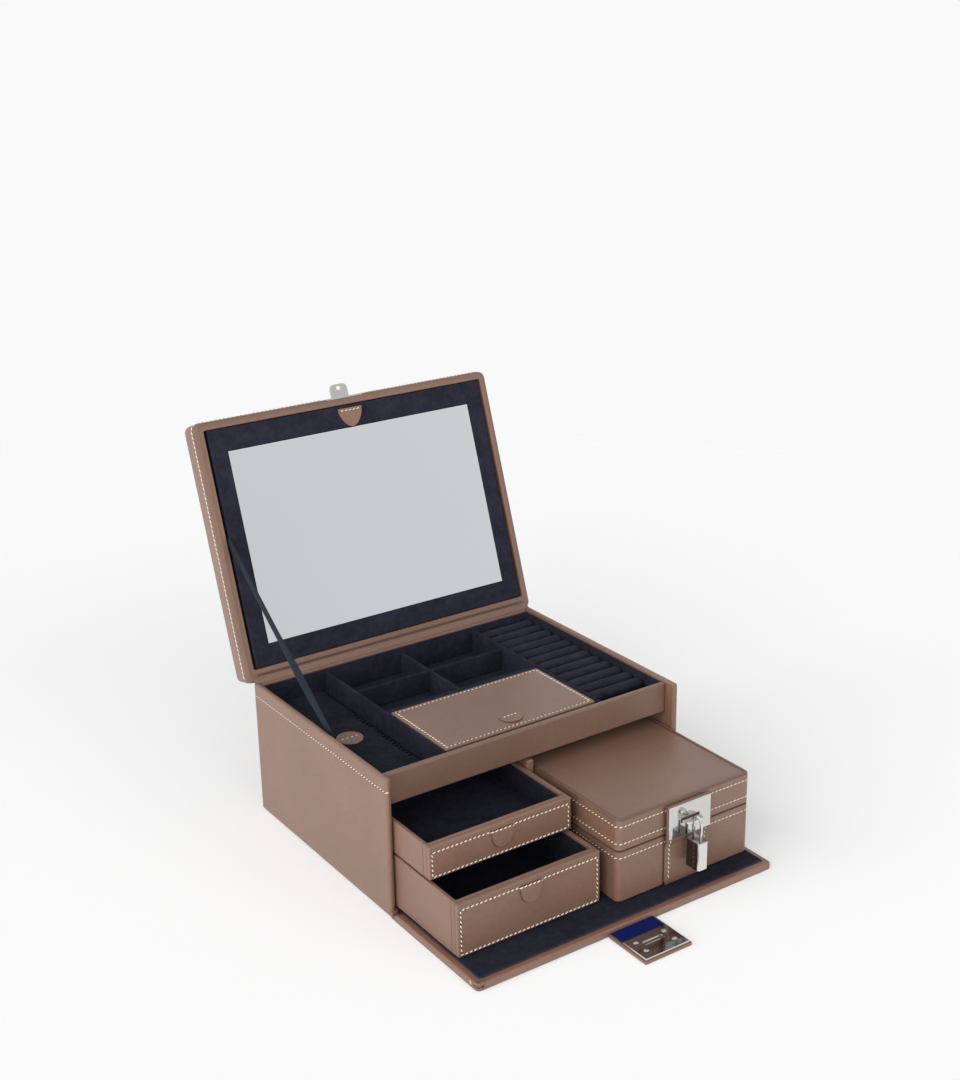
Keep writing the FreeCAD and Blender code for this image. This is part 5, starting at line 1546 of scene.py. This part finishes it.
class MakeStage(Maker):
    """Pale floor, soft studio light and the camera."""

    bl_idname = "jewellery_box.stage"
    bl_label = "Stage"

    def make(self, box):
        """Nothing here is part of the object."""
        stage = box.stage
        self.make_floor(stage)
        self.make_light(stage)
        self.make_camera(stage)
        bpy.context.scene.view_settings.view_transform = "Standard"

    @staticmethod
    def make_floor(stage):
        """A wide sheet that fades out before it meets the background."""
        reach, level, fade_from, fade_to = 4.0, -0.2 * MM, 0.55, 1.5
        mesh = bpy.data.meshes.new("floor")
        corners = [(x * reach, y * reach, level) for x, y in ((-1, -1), (1, -1), (1, 1), (-1, 1))]
        mesh.from_pydata(corners, [], [(0, 1, 2, 3)])
        material = bpy.data.materials.new("floor")
        start = Socket(cleared(material))
        where = start.node("ShaderNodeTexCoord", {}, {}, output="Object")
        away = where.node("ShaderNodeVectorMath", {"operation": "LENGTH"}, {0: where}, output="Value")
        fade = away.node("ShaderNodeMapRange", {"interpolation_type": "SMOOTHSTEP"},
                         {"Value": away, "From Min": fade_from, "From Max": fade_to})
        matt = start.node("ShaderNodeBsdfDiffuse", {}, {"Color": solid(stage.floor)})
        glow = start.node("ShaderNodeEmission", {}, {"Color": (1, 1, 1, 1), "Strength": stage.glow})
        paper = start.node("ShaderNodeAddShader", {}, {0: matt, 1: glow})
        clear = start.node("ShaderNodeBsdfTransparent", {}, {})
        shown = start.node("ShaderNodeMixShader", {}, {0: fade, 1: paper, 2: clear})
        shown.to_surface("ShaderNodeOutputMaterial")
        mesh.materials.append(material)
        added("floor", mesh)

    @staticmethod
    def make_light(stage):
        """An even world, seen white by the camera and in reflections, with three broad soft suns."""
        world = bpy.data.worlds.new("studio")
        bpy.context.scene.world = world
        start = Socket(cleared(world))
        ray = {name: start.node("ShaderNodeLightPath", {}, {}, output=name)
               for name in ("Is Camera Ray", "Is Glossy Ray", "Is Transmission Ray")}
        mirrored = ray["Is Glossy Ray"].over(ray["Is Transmission Ray"])
        way = start.node("ShaderNodeTexCoord", {}, {}, output="Generated")
        front = start.node("ShaderNodeSeparateXYZ", {}, {"Vector": way}, output="Y")
        dim = start.node("ShaderNodeMapRange", {"interpolation_type": "SMOOTHSTEP"},
                         {"Value": front, "From Min": -0.2, "From Max": -1.0, "To Max": stage.dimming})
        seen = ray["Is Camera Ray"].over(mirrored)
        strength = stage.ambient + seen * (stage.backdrop - stage.ambient) - mirrored * dim
        sky = start.node("ShaderNodeBackground", {}, {"Color": (1, 1, 1, 1), "Strength": strength})
        sky.to_surface("ShaderNodeOutputWorld")
        for name, (spread, direction) in LAMPS.items():
            lamp = bpy.data.lights.new(name, "SUN")
            lamp.energy = getattr(stage, name)
            lamp.angle = math.radians(spread)
            made = added(name, lamp)
            made.rotation_euler = look_along(unit(np.array(direction))).to_euler()
            made.visible_glossy = False

    @staticmethod
    def make_camera(stage):
        """A camera at the given eye, turned by azimuth and elevation and rolled."""
        lens = bpy.data.cameras.new("camera")
        lens.lens = stage.focal
        lens.sensor_width = 36.0
        lens.clip_start, lens.clip_end = 0.01, 100.0
        around, above, roll = stage.azimuth, stage.elevation, stage.roll
        back = np.array([math.sin(around) * math.cos(above), -math.cos(around) * math.cos(above),
                         math.sin(above)])
        right = np.array([math.cos(around), math.sin(around), 0.0])
        up = np.cross(back, right)
        turned_right = right * math.cos(roll) + up * math.sin(roll)
        turned_up = up * math.cos(roll) - right * math.sin(roll)
        view = Matrix(np.column_stack([turned_right, turned_up, back]).tolist()).to_4x4()
        view.translation = stage.eye
        camera = added("camera", lens)
        camera.matrix_world = view
        bpy.context.scene.camera = camera


def look_along(direction):
    """A rotation whose -Z points along a unit direction that isn't upright."""
    back = -direction
    right = unit(np.cross(UP, back))
    return Matrix(np.column_stack([right, np.cross(back, right), back]).tolist())


MAKERS_IN_ORDER = (MakeCase, MakeTray, MakeCompartment, MakeRingRolls, MakeNecklaceBay, MakeLid, MakeMirror,
                   MakeStay, MakeDrawers, MakeCasket, MakeCasketHasp, MakePadlock, MakeFallFront, MakeHasp,
                   MakeStage)


class BoxPanel(bpy.types.Panel):
    """Lists the jewellery box's pieces and settings."""

    bl_idname = "VIEW3D_PT_jewellery_box"
    bl_label = "Jewellery box"
    bl_space_type = "VIEW_3D"
    bl_region_type = "UI"
    bl_category = "Jewellery box"

    def draw(self, context):
        """One button for each operator, then the settings."""
        for maker in MAKERS_IN_ORDER:
            self.layout.operator(maker.bl_idname)
        box = context.scene.jewellery_box
        for group in (box.finish, box.sewing, box.leather, box.fitting, box.stage):
            column = self.layout.column()
            for name in group.__annotations__:
                column.prop(group, name)


CLASSES = (FinishSettings, SewingSettings, LeatherSettings, FittingSettings, StageSettings, BoxSettings,
           *MAKERS_IN_ORDER, BoxPanel)


def register():
    """Add the classes and the scene's settings."""
    for made in CLASSES:
        bpy.utils.register_class(made)
    bpy.types.Scene.jewellery_box = bpy.props.PointerProperty(type=BoxSettings)


def unregister():
    """Take the settings and the classes away again."""
    del bpy.types.Scene.jewellery_box
    for made in reversed(CLASSES):
        bpy.utils.unregister_class(made)


def main():
    """Make every piece in order."""
    register()
    for maker in MAKERS_IN_ORDER:
        group, name = maker.bl_idname.split(".")
        getattr(getattr(bpy.ops, group), name)()


if __name__ == "__main__":
    main()
